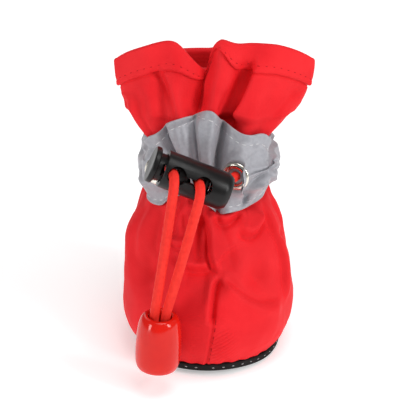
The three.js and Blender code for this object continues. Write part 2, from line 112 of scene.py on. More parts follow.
area_light("soft_left", (-0.6, -0.44, 0.27), (0.16, 0.5), 2.35)
area_light("soft_right", (0.64, -0.4, 0.42), (0.2, 0.5), 3.7)
area_light("soft_above", (0.15, -0.12, 0.95), (0.5, 0.5), 3.1)
area_light("soft_behind", (0.1, 0.7, 0.5), (0.9, 0.5), 1.5)
print("lights:", len(bpy.data.lights))

# %% Floor and surroundings
world = bpy.data.worlds.new("studio")
world.use_nodes = True
world.node_tree.nodes["Background"].inputs["Color"].default_value = (1, 1, 1, 1)
world.node_tree.nodes["Background"].inputs["Strength"].default_value = 0.22
bpy.context.scene.world = world
bpy.context.scene.view_settings.view_transform = "Standard"

floor_half = 3.0
floor_corners = [(x * floor_half, y * floor_half, 0) for x, y in ((-1, -1), (1, -1), (1, 1), (-1, 1))]
floor_mesh = bpy.data.meshes.new("floor")
floor_mesh.from_pydata(floor_corners, [], [(0, 1, 2, 3)])
floor = bpy.data.objects.new("floor", floor_mesh)
bpy.context.scene.collection.objects.link(floor)
paper = bpy.data.materials.new("paper")
paper.use_nodes = True
paper_shader = paper.node_tree.nodes["Principled BSDF"]
paper_shader.inputs["Base Color"].default_value = (0.93, 0.93, 0.93, 1)
paper_shader.inputs["Roughness"].default_value = 0.9
paper_shader.inputs["Emission Color"].default_value = (1, 1, 1, 1)
paper_shader.inputs["Emission Strength"].default_value = 0.34
floor_mesh.materials.append(paper)
floor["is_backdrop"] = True
print("floor:", 2 * floor_half, "m square")

# %% [markdown]
# ## The sizes
#
# The same sizes and tables shape the solid model, in millimetres. Each table row belongs to one level:
# how far the section has gone from the foot's size to the ankle's, or from the ankle's to the collar's.

# %% Sizes
foot_length, foot_width, foot_ahead = 64.6, 56.4, 1.8
pouch_height, sole_tuck = 14.0, 2.7
ankle_width, ankle_depth, ankle_setback = 32.0, 28.0, 8.6
collar_width, collar_depth, collar_setback = 66.0, 17.0, 14.5
cord_height, collar_height = 63.5, 105.0
corner_drop, back_drop, seam_drop = 12.0, 12.5, 10.0
wall, hem_width, clearance = 1.2, 9.0, 0.3
sole_thickness, toe_spring, heel_spring = 2.4, 2.0, 0.7
insole_thickness = 1.4
band_width, band_wall, band_fold = 27.0, 1.1, 3.0
cord_diameter = 3.2
cord_radius = cord_diameter / 2
shaft_height = collar_height - cord_height
rim_height = sole_thickness + clearance
hem_edge = collar_height - hem_width
band_bottom, band_top = cord_height - band_width / 2, cord_height + band_width / 2
print("foot:", foot_length, "x", foot_width, "mm, collar at", collar_height, "mm")

# %% Tables of the form
# height share, then width, depth and setback shares
foot_to_ankle = np.array([
    (0.22, 0.00, 0.00, 0.00), (0.33, 0.04, 0.05, 0.04), (0.46, 0.14, 0.18, 0.20), (0.58, 0.33, 0.40, 0.46),
    (0.69, 0.55, 0.62, 0.72), (0.79, 0.75, 0.79, 0.90), (0.88, 0.90, 0.91, 0.97), (1.00, 1.00, 1.00, 1.00)])
ankle_to_collar = np.array([
    (0.00, 0.00, 0.00, 0.00), (0.08, 0.12, 0.04, 0.03), (0.16, 0.36, 0.10, 0.10), (0.32, 0.68, 0.25, 0.30),
    (0.48, 0.81, 0.42, 0.50), (0.65, 0.89, 0.62, 0.70), (0.83, 0.95, 0.84, 0.87), (1.00, 1.00, 1.00, 1.00)])
# angle at the ankle and at the collar, half width, then depth at the ankle, halfway and at the collar
deep_folds = [(-15, -6, 9, 0.08, 0.14, 0.13), (12, 23, 8, 0.16, 0.22, 0.05),
              (-38, -32, 10, 0.12, 0.08, 0.02)]
front_seam = np.radians(deep_folds[0][1])
print("rows:", len(foot_to_ankle), "and", len(ankle_to_collar), "deep folds:", len(deep_folds))


# %% Small curves that the forms are built from
def smooth(low, high, x):
    """0 below low, 1 above high, and an S between them."""
    t = np.clip((x - low) / (high - low), 0, 1)
    return t * t * (3 - 2 * t)


def bump(x, width):
    """A bell curve: 1 at 0 and 1/e one width away."""
    return np.exp(-((x / width) ** 2))


def mix(a, b, t):
    """From a to b as t goes from 0 to 1."""
    return a + (b - a) * t


def turn(angle, start):
    """The difference of two angles, between minus and plus half a turn."""
    return np.arctan2(np.sin(angle - start), np.cos(angle - start))


def column(rows, which, x):
    """One column of a table at x: a cubic between each two rows, with the harmonic mean of the
    neighbouring slopes at each row, so that the curve never overshoots them."""
    xs, ys = rows[:, 0], rows[:, which]
    slope = np.diff(ys) / np.diff(xs)
    tangent = np.zeros_like(ys)
    product, total = slope[:-1] * slope[1:], slope[:-1] + slope[1:]
    tangent[1:-1] = np.where(product > 0, 2 * product / np.where(total == 0, 1, total), 0)
    x = np.clip(x, xs[0], xs[-1])
    i = np.clip(np.searchsorted(xs, x, side="right") - 1, 0, len(xs) - 2)
    span = xs[i + 1] - xs[i]
    t = (x - xs[i]) / span
    between = ys[i] + (ys[i + 1] - ys[i]) * t * t * (3 - 2 * t)
    return between + span * (t * (1 - t) ** 2 * tangent[i] - t * t * (1 - t) * tangent[i + 1])


print("width share halfway from the foot to the ankle:", round(float(column(foot_to_ankle, 1, 0.5)), 2))

# %% [markdown]
# ## The form of the cloth
#
# Every level of the boot is an oval with its own width, depth and setback. The deep folds of the shaft
# push that oval in, and the collar dips at its corners, its back and its front seam.

# %% The oval of a level
side_tuck = 1.75  # the pouch tucks in this much more at its sides than at its ends


def section(height):
    """Half the width, half the depth and the setback of the oval at a height. Each goes from the foot's
    size to the ankle's below the cord, and from the ankle's to the collar's above it, by the shares of
    the tables. Near the floor the pouch tucks in over the sole, by the square of how far down it is."""
    low, high = height / cord_height, (height - cord_height) / shaft_height
    shaft = height > cord_height
    sizes = []
    for k, foot, ankle, collar in ((1, foot_width, ankle_width, collar_width),
                                   (2, foot_length, ankle_depth, collar_depth),
                                   (3, -foot_ahead, ankle_setback, collar_setback)):
        share = np.where(shaft, column(ankle_to_collar, k, high), column(foot_to_ankle, k, low))
        sizes.append(mix(np.where(shaft, ankle, foot), np.where(shaft, collar, ankle), share))
    tuck = sole_tuck * (np.maximum(0, pouch_height - height) / (pouch_height - rim_height)) ** 2
    return sizes[0] / 2 - side_tuck * tuck, sizes[1] / 2 - tuck, sizes[2]


def spring(y):
    """The floor side of the sole rises towards the toe and a little towards the heel."""
    toe, heel = foot_length / 2 + foot_ahead, foot_length / 2 - foot_ahead
    return toe_spring * smooth(0.4 * toe, toe, -y) ** 1.5 + heel_spring * smooth(0.6 * heel, heel, y)


at_cord = [round(float(size), 1) for size in section(np.array(cord_height))]
print("half width, half depth and setback at the cord:", at_cord)


# %% The deep folds and the collar's edge
def fold_push(angle, low, high):
    """How far the deep folds push the shaft in: for each fold, a bell curve of the angle from its path,
    times its depth at the ankle, halfway or at the collar."""
    total = 0.0
    for ankle, collar, spread, at_ankle, halfway, at_collar in deep_folds:
        at = np.radians(mix(ankle, collar, smooth(0, 0.9, high)))
        ends = mix(at_ankle, at_collar, smooth(0.1, 1, high))
        push = mix(ends, halfway, bump(high - 0.5, 0.3)) * ankle_depth
        total = total + push * smooth(0.72, 1, low) * bump(turn(angle, at), np.radians(spread))
    return total


notch_depth, notch_left, notch_right = 1.3, 11.5, 5.5  # a share of the seam's drop, then degrees
lobe_sag, lobe_place, lobe_spread = 2.4, 23, 14  # millimetres, then degrees from the seam


def collar_drop(angle):
    """How far the collar's edge dips: at its corners and its back by powers of the cosine, in a notch at
    the front seam that is steeper on its right, and in the sag of the right lobe."""
    cos = np.cos(angle)
    front, behind = np.maximum(0, cos) ** 1.5, np.maximum(0, -cos)
    from_seam = np.degrees(turn(angle, front_seam))
    notch = np.where(from_seam < 0, bump(from_seam, notch_left), bump(from_seam, notch_right))
    notch = notch_depth * seam_drop * notch
    sag = lobe_sag * bump(from_seam - lobe_place, lobe_spread)
    return corner_drop * (1 - front) + (back_drop - corner_drop) * behind + notch + sag


print("the front seam dips", round(float(collar_drop(front_seam)), 1), "mm below the collar's height")

# %% The upper's form
collar_lean, collar_narrowing, left_inset = 2.0, 0.035, 2.2
toe_fullness, collar_pinch, fold_aside = 0.04, 0.45, 0.35


def form(angle, height, folded=1.0):
    """A point of the upper, from its angle round the leg (0 at the toe) and its height. x is half the
    width times the sine of the angle, y the depth times its cosine, whose power grows towards the collar
    and pinches the oval there. The folds then move the point towards the middle of the shaft, the
    collar's dips lower it, and the collar leans a little aside."""
    low, high = height / cord_height, (height - cord_height) / shaft_height
    half, reach, centre = section(height)
    cos = np.cos(angle)
    x = half * (np.sin(angle) + toe_fullness * (1 - smooth(0.3, 0.8, low)) * np.sin(2 * angle))
    y = centre - reach * np.sign(cos) * np.abs(cos) ** (1 + collar_pinch * smooth(0.2, 1, high))
    inward = folded * fold_push(angle, low, high)
    to_x, to_y = -fold_aside * x, centre - y
    far = np.hypot(to_x, to_y) + 1e-9
    aside = smooth(0.3, 1, high)
    left = np.maximum(0, -np.sin(angle)) ** 1.5 * (1 - bump(high, 0.12)) * (height > cord_height)
    x = x * (1 - collar_narrowing * aside) + collar_lean * aside
    x = x + left_inset * left * bump(high - 0.52, 0.25)
    rise = spring(y) * (1 - smooth(rim_height, 2 * pouch_height, height))
    z = height - collar_drop(angle) * smooth(0.25, 0.8, high) + rise
    return np.stack(np.broadcast_arrays(x + inward * to_x / far, y + inward * to_y / far, z), -1)


print("toe at half the pouch:", form(np.array(0.0), np.array(pouch_height / 2)).round(1).tolist())


# %% Directions on the form
def unit(v):
    """Vectors of length 1."""
    return v / (np.linalg.norm(v, axis=-1, keepdims=True) + 1e-12)


def outward(angle, height, folded=1.0):
    """The form's normal: the cross product of its steps round the leg and up it."""
    step, turned = 0.4, 0.02
    around = form(angle + turned, height, folded) - form(angle - turned, height, folded)
    up = form(angle, height + step, folded) - form(angle, height - step, folded)
    return unit(np.cross(around, up))


print("the form's normal at the toe:", outward(np.array(0.0), np.array(pouch_height)).round(2).tolist())

# %% [markdown]
# ## Creases
#
# A crease is a path on the cloth. Its depth is a bell curve across the path, so the trough is soft, and
# a lip may stand up along one side where the cloth has rolled over. The paths below are the folds that
# give this bootie its look: the sharp fold that hooks across the instep, the gathers under the band,
# the dimples of the foot and the pull lines of the shaft.

# %% Crease paths
# (angle, height) points, half width, depth, lip and step, in degrees and millimetres.
# The lip and the step are on the right of a path that runs up, and above one that runs to the left.
creases = [
    # foot: the hooked fold, the hollow under it and the level fold at its left
    ([(12, 35.2), (8, 35.2), (4.0, 35.7), (1.4, 37.0), (0.4, 39.5), (0, 45), (-6, 51)], 0.8, 2.0, 0.3, 3.1),
    ([(11, 33.2), (7.6, 33.0), (5.2, 31.4), (3.9, 28.6), (3.0, 25.5), (2.0, 19)], 1.0, 2.3, 0.2, 1.9),
    ([(2, 35.4), (-4, 35.6), (-10, 35.4), (-19, 35.2)], 0.9, 1.5, 0.2, 2.5),
    ([(-16, 40.8), (-25, 40.2), (-33, 41.0)], 0.7, 0.8, 0.1, 1.4),
    ([(-4, 50), (-7, 45), (-8, 40), (-6, 36)], 1.6, 1.9, 0.2, 0.0),
    # gathers under the band
    ([(34, 49), (22, 46.6), (12, 46.4), (4, 49)], 1.2, 2.2, 0.3, 1.2),
    ([(64, 44.4), (48, 42.0), (36, 42.0), (24, 44.5)], 1.1, 1.8, 0.4, 2.1),
    ([(20, 34), (19, 38), (17, 42), (13, 47)], 2.0, 0.9, 0.0, 0.5),
    ([(-44, 35), (-47, 40), (-47, 45), (-44, 50)], 2.2, 1.7, 0.3, 0.0),
    ([(-66, 29), (-70, 36), (-70, 43), (-64, 50)], 2.0, 1.0, 0.3, 0.0),
    ([(-20, 42), (-22, 46), (-23, 50)], 1.3, 1.7, 0.4, 0.8),
    ([(-33, 42), (-35, 46), (-34, 51)], 1.4, 1.8, 0.4, 0.4),
    # right side of the foot: an upright pull line and the arc below the dimple
    ([(60, 19), (66, 27), (67.5, 35), (66, 41), (62, 49)], 0.9, 1.2, 0.3, 1.3),
    ([(10, 33.6), (19, 30.3), (27, 27.2), (40, 23.6), (58, 22.0)], 1.6, 0.8, 0.2, 2.6),
    ([(87, 30), (88, 38), (84, 47)], 1.8, 1.0, 0.3, 0.3),
    # back of the foot
    ([(122, 26), (126, 33), (124, 42), (118, 50)], 2.0, 1.2, 0.3, 0.6),
    ([(160, 35), (156, 41), (150, 49)], 1.8, 1.0, 0.3, 0.4),
    ([(-122, 33), (-118, 41), (-112, 50)], 2.0, 1.2, 0.3, 0.5),
    ([(-154, 34), (-152, 42), (-146, 49)], 1.8, 1.0, 0.3, 0.3),
    ([(-168, 44), (-176, 38), (170, 37)], 1.6, 0.8, 0.3, 0.0),
    # shaft: the seam's cleft, the left lobe's fall, the valley beside the right lobe, and pull lines
    ([(-8.8, 62), (-8.5, 73), (-7.8, 83), (-7.0, 95), (-6, 106)], 0.45, 1.5, 0.0, 0.9),
    ([(-22, 72), (-26, 82), (-31, 88), (-35, 93), (-39, 98)], 1.2, 1.1, 0.3, 1.5),
    ([(-43, 96), (-38, 94.5), (-34, 95.5)], 1.2, 0.8, 0.3, 0.0),
    ([(-54, 72), (-55, 78), (-57, 85), (-60, 93)], 2.4, 0.8, 0.3, 0.3),
    ([(14, 64), (17, 75), (22.5, 82), (25.5, 88), (27, 94), (27.5, 101)], 1.0, 2.5, 0.4, 3.3),
    ([(8, 74), (9, 82), (10, 90)], 2.0, 0.4, 0.0, 0.0),
    ([(49, 73), (52, 80), (58, 86), (66, 90), (76, 94)], 1.5, 0.5, 0.3, 1.1),
    ([(34, 74), (36, 80), (38, 88), (40, 95)], 3.0, 0.3, 0.2, 0.0),
    ([(164, 74), (158, 84), (150, 92)], 2.4, 1.0, 0.3, 0.6),
    ([(-160, 74), (-156, 84), (-150, 92)], 2.4, 1.0, 0.3, 0.5),
    ([(108, 75), (112, 84), (115, 94)], 2.4, 0.9, 0.3, 0.4),
    ([(-106, 75), (-110, 84), (-112, 94)], 2.4, 0.9, 0.3, 0.4),
]
print("creases:", len(creases))

# %% Dimples
# angle, height, radius and depth; a bulge has a depth below 0
dimples = [(41, 31, 5.5, 4.5), (-52, 32.5, 5.5, 4.4), (-44, 26.5, 5.0, 1.0), (24, 38, 4.5, 0.8),
           (100, 24, 8.0, 0.9), (-100, 22, 8.0, 0.9), (150, 22, 8.0, 0.8), (-158, 24, 8.0, 0.8),
           (-70, 18, 7.0, 0.5), (70, 15, 7.0, 0.5), (-22, 26, 6.0, -0.5), (57, 35, 4.5, -0.7),
           (-82, 37, 12.0, -2.3), (80, 42, 6.0, -0.6)]
print("dimples and bulges:", len(dimples))


# %% Distance from a path
def along_path(points, normals, stops):
    """The signed distance of each point from a path on the cloth, and how far along the path it is, from
    0 to 1. The sign is that of the offset on the side cross(way, normal)."""
    lengths = np.linalg.norm(np.diff(stops, axis=0), axis=1)
    starts = np.concatenate([[0], np.cumsum(lengths)])
    nearest = np.full(points.shape[:-1], 1e9)
    signed, along = nearest.copy(), np.zeros_like(nearest)
    for a, b, start, length in zip(stops[:-1], stops[1:], starts, lengths):
        way = (b - a) / length
        reach = np.clip((points - a) @ way, 0, length)
        off = points - a - reach[..., None] * way
        distance = np.linalg.norm(off, axis=-1)
        side = np.sign(np.sum(np.cross(way, normals) * off, axis=-1))
        nearer = distance < nearest
        nearest = np.where(nearer, distance, nearest)
        signed = np.where(nearer, side * distance, signed)
        along = np.where(nearer, (start + reach) / starts[-1], along)
    return signed, along


def flowing(path):
    """A path with three more points in each span, on a Catmull-Rom curve through the given ones:
    half of 2b + (c - a)t + (2a - 5b + 4c - d)t^2 + (3b - a - 3c + d)t^3."""
    path = np.array(path, float)
    p = np.concatenate([[2 * path[0] - path[1]], path, [2 * path[-1] - path[-2]]])
    t = np.array([0, 0.25, 0.5, 0.75])[:, None]
    spans = [(2 * b + (c - a) * t + (2 * a - 5 * b + 4 * c - d) * t**2 + (3 * b - a - 3 * c + d) * t**3) / 2
             for a, b, c, d in zip(p[:-3], p[1:-2], p[2:-1], p[3:])]
    return np.concatenate(spans + [path[-1:]])


print("the first crease has", len(creases[0][0]), "points and flows through", len(flowing(creases[0][0])))

# %% [markdown]
# ## The profile of a fold
#
# Cloth that folds makes three shapes: a trough, a lip where it rolls over, and a step where one side lies
# on the other. Each is a simple function of the distance from the path. Their sum moves the cloth along
# its normal, which is quicker and easier to place than a simulation, and gives the same result each time.


# %% One crease
def fold_profile(signed, along, width, depth, lip, step):
    """The move of the cloth across a fold. A trough: minus the depth times a bell curve. A lip: a second
    bell curve 1.8 widths to the right. A step: the cloth right of the path stands up by the step and
    settles over 6 mm, and the cloth left of it sinks by 0.6 of that and settles over 4 mm. All three
    fade out at the ends of the path."""
    fade = smooth(0, 0.2, along) * smooth(0, 0.2, 1 - along)
    right = 0.5 + 0.5 * np.tanh(1.6 * signed / width)
    stepped = step * (right * np.exp(-np.abs(signed) / 6) - 0.6 * (1 - right) * np.exp(-np.abs(signed) / 4))
    return fade * (lip * bump(signed - 1.8 * width, width) - depth * bump(signed, width) + stepped)


def crease(points, normals, path, width, depth, lip, step):
    """How far one crease of the upper moves the cloth along its normal."""
    path = flowing(path)
    signed, along = along_path(points, normals, form(np.radians(path[:, 0]), path[:, 1]))
    return fold_profile(signed, along, width, depth, lip, step)


trough = fold_profile(np.array(0.0), np.array(0.5), *creases[0][1:])
print("the hooked fold's own trough:", round(float(trough), 2), "mm")

# %% [markdown]
# ## Relief that repeats
#
# Some relief isn't placed by hand: the low swells of thin cloth, the pleats that a drawcord gathers, and
# the short ripples beside a sewn seam. Sums of sines make them, with bell curves that say where they fade.


# %% Swells, gathers and puckers
def waves(points, seed, length, count):
    """Low uneven swells: the mean of waves in random directions, each bent by another."""
    random = np.random.default_rng(seed)
    total = np.zeros(points.shape[:-1])
    for _ in range(count):
        way = unit(random.normal(size=3)) * 2 * np.pi / (length * random.uniform(0.75, 1.4))
        cross = unit(random.normal(size=3)) * 2 * np.pi / (2.3 * length)
        bend = 1.4 * np.sin(points @ cross + random.uniform(0, 7))
        total += np.sin(points @ way + bend + random.uniform(0, 7))
    return total / math.sqrt(count)


def gathers(angle, height):
    """The drawcord's pleats: uneven ribs round the leg, deepest at the band and gone 16 mm from it."""
    ribs = np.sin(13 * angle + 1.8 * np.sin(2 * angle + 0.7))
    ribs = ribs + 0.6 * np.sin(21 * angle + 2.1 * np.sin(3 * angle))
    below = bump(height - band_bottom, 9) * (height < band_bottom) + (height >= band_bottom)
    above = bump(height - band_top, 11) * (height > band_top) + (height <= band_top)
    return 0.42 * ribs * below * above


toe_seam_start, toe_seam_slant = -0.9, 0.12  # the toe's seam is at x = start + slant times the height


def from_toe_seam(points, height):
    """The distance to the right of the toe's seam."""
    return points[..., 0] - toe_seam_start - toe_seam_slant * height


def seam_puckers(angle, height, points):
    """Sewing draws the cloth up beside a seam: short ripples 1.5 mm apart that arch away from the
    front seam of the toe and die out within 8 mm of it."""
    away = from_toe_seam(points, height)
    ripples = np.sin(2 * np.pi * (points[..., 2] + 1.6 * np.exp(-away / 1.8) - 0.06 * away**2) / 1.5)
    side = np.where(away > 0, bump(away - 4.5, 4.2), 0.7 * bump(away + 2.5, 2.6))
    level = smooth(3, 6, height) * (1 - smooth(15, 21, height))
    return 0.5 * ripples * side * level * (np.cos(angle) > 0.5)


print("gathers at the band, front:", round(float(gathers(np.array(0.0), np.array(cord_height))), 2), "mm")

# %% The relief of the cloth
# the deep gap between two pleats at the front: level and angle, from below the band to above it
gap_path = np.array([(46, 17), (55, 13), (64, 12), (72, 13), (80, 19)], float)


def relief(angle, height):
    """Everything that lifts or sinks the cloth from its plain form, in millimetres along its normal."""
    points, normals = form(angle, height), outward(angle, height)
    total = sum(crease(points, normals, *one) for one in creases)
    for at, level, radius, depth in dimples:
        centre = form(np.radians(at), np.float64(level))
        total -= depth * bump(np.linalg.norm(points - centre, axis=-1), radius)
    under_band = smooth(48, 51, height) * (1 - smooth(76, 79, height))
    total *= 1 - 0.7 * under_band
    total += gathers(angle, height) - (0.5 + 0.6 * bump(turn(angle, -0.25), 0.7)) * under_band
    gap = column(gap_path, 1, height)
    total -= 2.2 * under_band * bump(turn(angle, np.radians(gap)), np.radians(7))
    total += 0.16 * waves(points, 5, 13, 7) * (1 - under_band)
    total += 0.05 * waves(points, 11, 5.5, 6) * (1 - under_band)
    total += seam_puckers(angle, height, points)
    scallop = bump(height - rim_height, 2.2) * (0.5 + 0.5 * np.sin(34 * angle))
    total -= 0.35 * scallop
    seam = bump(from_toe_seam(points, height), 0.4) * (1 - smooth(22, 27, height))
    total -= 0.6 * seam * (np.cos(angle) > 0.2)
    back_seam = bump(points[..., 0], 0.45) * (np.cos(angle) < -0.5)
    return total - 0.45 * back_seam


print("relief at the toe:", round(float(relief(np.array(0.0), np.array(pouch_height))), 2), "mm")

# %% [markdown]
# ## From a grid of points to a mesh
#
# Each piece is one grid: rows of points that close round the leg. The helper turns whole arrays into a
# mesh and lays a UV map over it in millimetres, so that a weave can follow the cloth.

# %% Faces and UVs of a grid
def grid_faces(rows, columns, close_rows):
    """Four corners for each cell of a grid whose columns close round; the rows may close as well."""
    j = np.arange(rows if close_rows else rows - 1)[:, None]
    i = np.arange(columns)[None, :]
    below, above = (j % rows) * columns, ((j + 1) % rows) * columns
    right = (i + 1) % columns
    corners = np.broadcast_arrays(below + i, below + right, above + right, above + i)
    return np.stack(corners, -1).reshape(-1, 4)


def grid_uv(points, close_rows):
    """UVs in millimetres: the widest row's length round, and the length travelled from row to row."""
    rows, columns = points.shape[:2]
    round_steps = np.linalg.norm(np.roll(points, -1, axis=1) - points, axis=-1)
    u = np.concatenate([np.zeros((rows, 1)), np.cumsum(round_steps, axis=1)], axis=1)
    u = np.repeat(u[np.argmax(u[:, -1])][None], rows, axis=0)
    travel = np.linalg.norm(np.diff(points, axis=0), axis=-1).mean(axis=1)
    v = np.concatenate([[0], np.cumsum(travel)])
    if close_rows:
        u = np.concatenate([u, u[:1]])
        v = np.concatenate([v, [v[-1] + 1]])
    corner = lambda j, i: np.stack([u[j, i], np.broadcast_to(v[j], u[j, i].shape)], -1)
    j, i = np.meshgrid(np.arange(len(v) - 1), np.arange(columns), indexing="ij")
    corners = [corner(j, i), corner(j, i + 1), corner(j + 1, i + 1), corner(j + 1, i)]
    return np.stack(corners, 2).reshape(-1, 2)


def softened(rings, times):
    """Each point moved half way to the mean of its four neighbours, a few times, as cloth rounds off."""
    for _ in range(times):
        beside = np.roll(rings, 1, 1) + np.roll(rings, -1, 1)
        around_it = beside + np.roll(rings, 1, 0) + np.roll(rings, -1, 0)
        rings = mix(rings, around_it / 4, 0.5)
    return rings


print("faces of a grid of 4 rings with 6 points:", len(grid_faces(4, 6, False)))


# %% Pieces from rings of points
def make_piece(name, points, faces, uv=None, body="root", slot=None):
    """A mesh object from points in millimetres, with its place in its mesh. It rides on a body. The slot
    argument is not used."""
    mesh = bpy.data.meshes.new(name)
    corners = np.asarray(points).reshape(-1, 3) * mm
    mesh.from_pydata(corners.tolist(), [], faces.tolist() if isinstance(faces, np.ndarray) else faces)
    if uv is not None:
        layer = mesh.uv_layers.new(name="UVMap")
        layer.data.foreach_set("uv", (uv * mm).ravel())
    mesh.polygons.foreach_set("use_smooth", [True] * len(mesh.polygons))
    mesh.update()
    piece = bpy.data.objects.new(name, mesh)
    bpy.context.scene.collection.objects.link(piece)
    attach(piece, body)
    triangles = sum(len(p.vertices) - 2 for p in mesh.polygons)
    print(f"{name}: {len(mesh.vertices)} points, {triangles} triangles")
    return piece


def ring_piece(name, rings, **more):
    """A closed skin from rings that follow each other and join up again, such as a wall with two faces."""
    return make_piece(name, rings, grid_faces(*rings.shape[:2], True), grid_uv(rings, True), **more)


def capped_piece(name, rings, **more):
    """A closed skin from rings whose first and last ones are points, for anything turned or plate-like.
    The end rings are pinched to one vertex each."""
    rows, columns = rings.shape[:2]
    inner = rings[1:-1]
    faces = (grid_faces(rows - 2, columns, False) + 1).tolist()
    i = np.arange(columns)
    last = (rows - 3) * columns + 1
    faces += np.stack([0 * i, 1 + (i + 1) % columns, 1 + i], -1).tolist()
    end_point = 0 * i + 1 + inner.shape[0] * columns
    faces += np.stack([last + i, last + (i + 1) % columns, end_point], -1).tolist()
    points = np.concatenate([rings[0, :1], inner.reshape(-1, 3), rings[-1, :1]])
    return make_piece(name, points, faces, **more)


# %% [markdown]
# ## Finishes
#
# A finish is a small set of nodes on a Principled shader. Colours that never change are set on the
# shader's own sockets. What varies is a little noise in the colour and roughness, and a bump for the
# weave or grain, in the true size of the threads.

# %% Helpers for finishes
def finish(name, color, roughness, **sockets):
    """A material with its Principled shader; the other sockets are set by name."""
    material = bpy.data.materials.new(name)
    material.use_nodes = True
    shader = material.node_tree.nodes["Principled BSDF"]
    shader.inputs["Base Color"].default_value = (*color, 1)
    shader.inputs["Roughness"].default_value = roughness
    for socket, value in sockets.items():
        shader.inputs[socket.replace("_", " ")].default_value = value
    return material


def add(material, kind, settings=None, links=None):
    """A node with its values set and its inputs linked: links maps an input to an output socket."""
    node = material.node_tree.nodes.new(kind)
    for key, value in (settings or {}).items():
        if isinstance(key, str) and hasattr(node, key):
            setattr(node, key, value)
        else:
            node.inputs[key].default_value = value
    for key, source in (links or {}).items():
        material.node_tree.links.new(source, node.inputs[key])
    return node


def into_shader(material, socket, source):
    """Links an output to the shader."""
    material.node_tree.links.new(source, material.node_tree.nodes["Principled BSDF"].inputs[socket])


print("materials before the finishes:", len(bpy.data.materials))


# %% Colour, roughness and weave
def noise_of(material, place, scale, detail):
    """Soft noise on Object coordinates, from 0 to 1."""
    settings = {"Scale": scale, "Detail": detail}
    return add(material, "ShaderNodeTexNoise", settings, {"Vector": place.outputs["Object"]}).outputs["Fac"]


def mottled(material, color, deeper, scale, share=0.5):
    """Colour that drifts between two close tones with soft noise on Object coordinates."""
    place = add(material, "ShaderNodeTexCoord")
    ramp = add(material, "ShaderNodeValToRGB", None, {"Fac": noise_of(material, place, scale, 4.0)})
    ramp.color_ramp.elements[0].position = 0.5 - share / 2
    ramp.color_ramp.elements[1].position = 0.5 + share / 2
    ramp.color_ramp.elements[0].color = (*deeper, 1)
    ramp.color_ramp.elements[1].color = (*color, 1)
    into_shader(material, "Base Color", ramp.outputs["Color"])
    return place


def rough_noise(material, place, scale, low, high):
    """Roughness that varies between two values, as handled and worn surfaces do."""
    noise = noise_of(material, place, scale, 3.0)
    spread = add(material, "ShaderNodeMapRange", {"To Min": low, "To Max": high}, {"Value": noise})
    into_shader(material, "Roughness", spread.outputs["Result"])


def bumped(material, heights, strength, distance):
    """The sum of several height outputs as one bump."""
    total = heights[0]
    for more in heights[1:]:
        total = add(material, "ShaderNodeMath", {"operation": "ADD"}, {0: total, 1: more}).outputs["Value"]
    node = add(material, "ShaderNodeBump", {"Strength": strength, "Distance": distance}, {"Height": total})
    into_shader(material, "Normal", node.outputs["Normal"])


def wave_scale(pitch):
    """The scale at which a wave texture repeats every two threads. At scale 1 it repeats every 2 pi / 20."""
    return (2 * math.pi / 20) / (2 * pitch)


def woven(material, pitch, strength, distance):
    """A plain weave: fine bands along and across the cloth on its UV map, with a little fibre noise."""
    layout = add(material, "ShaderNodeUVMap", {"uv_map": "UVMap"})
    wave = {"Scale": wave_scale(pitch), "Distortion": 0.6, "Detail": 1.0, "Detail Scale": 2.0}
    heights = [add(material, "ShaderNodeTexWave", {"bands_direction": way, **wave},
                   {"Vector": layout.outputs["UV"]}).outputs["Fac"] for way in ("X", "Y")]
    place = add(material, "ShaderNodeTexCoord")
    heights.append(noise_of(material, place, 900.0, 3.0))
    bumped(material, heights, strength, distance)


print("threads 0.45 mm wide need a wave of scale", round(wave_scale(0.00045)))

# %% The finishes of the bootie
nylon = finish("red_nylon", (0.75, 0.016, 0.021), 0.64, Specular_IOR_Level=0.13)
rough_noise(nylon, mottled(nylon, (0.81, 0.02, 0.026), (0.72, 0.012, 0.018), 90.0), 260.0, 0.58, 0.74)
woven(nylon, 0.00045, 0.18, 0.00006)

lining_cloth = finish("red_lining", (0.8, 0.022, 0.026), 0.85, Specular_IOR_Level=0.1)
mottled(lining_cloth, (0.84, 0.024, 0.03), (0.72, 0.016, 0.02), 140.0)
woven(lining_cloth, 0.0007, 0.25, 0.0001)

reflective = finish("reflective_cloth", (0.34, 0.34, 0.37), 0.5,
                    Metallic=0.15, Sheen_Weight=0.3, Specular_IOR_Level=0.6)
place = mottled(reflective, (0.38, 0.38, 0.41), (0.27, 0.27, 0.3), 900.0, 0.7)
rough_noise(reflective, place, 500.0, 0.42, 0.62)
woven(reflective, 0.0004, 0.2, 0.00005)

rubber = finish("black_rubber", (0.008, 0.008, 0.008), 0.8, Specular_IOR_Level=0.25)
rough_noise(rubber, mottled(rubber, (0.011, 0.011, 0.011), (0.004, 0.004, 0.004), 200.0), 300.0, 0.7, 0.9)

black_plastic = finish("black_plastic", (0.008, 0.007, 0.007), 0.34, Specular_IOR_Level=0.26)
place = mottled(black_plastic, (0.01, 0.009, 0.009), (0.005, 0.005, 0.005), 300.0)
rough_noise(black_plastic, place, 420.0, 0.26, 0.42)

bell_plastic = finish("red_plastic", (0.7, 0.008, 0.004), 0.13, Specular_IOR_Level=0.34)
mottled(bell_plastic, (0.72, 0.012, 0.005), (0.62, 0.006, 0.003), 120.0)

elastic = finish("red_elastic", (0.85, 0.03, 0.018), 0.65, Specular_IOR_Level=0.25)
mottled(elastic, (0.88, 0.034, 0.02), (0.76, 0.018, 0.012), 700.0)

nickel = finish("nickel", (0.78, 0.74, 0.66), 0.22, Metallic=1.0)
rough_noise(nickel, mottled(nickel, (0.82, 0.78, 0.7), (0.68, 0.64, 0.56), 500.0), 900.0, 0.14, 0.32)

steel = finish("spring_steel", (0.62, 0.62, 0.64), 0.25, Metallic=1.0)
mottled(steel, (0.66, 0.66, 0.68), (0.5, 0.5, 0.52), 900.0)

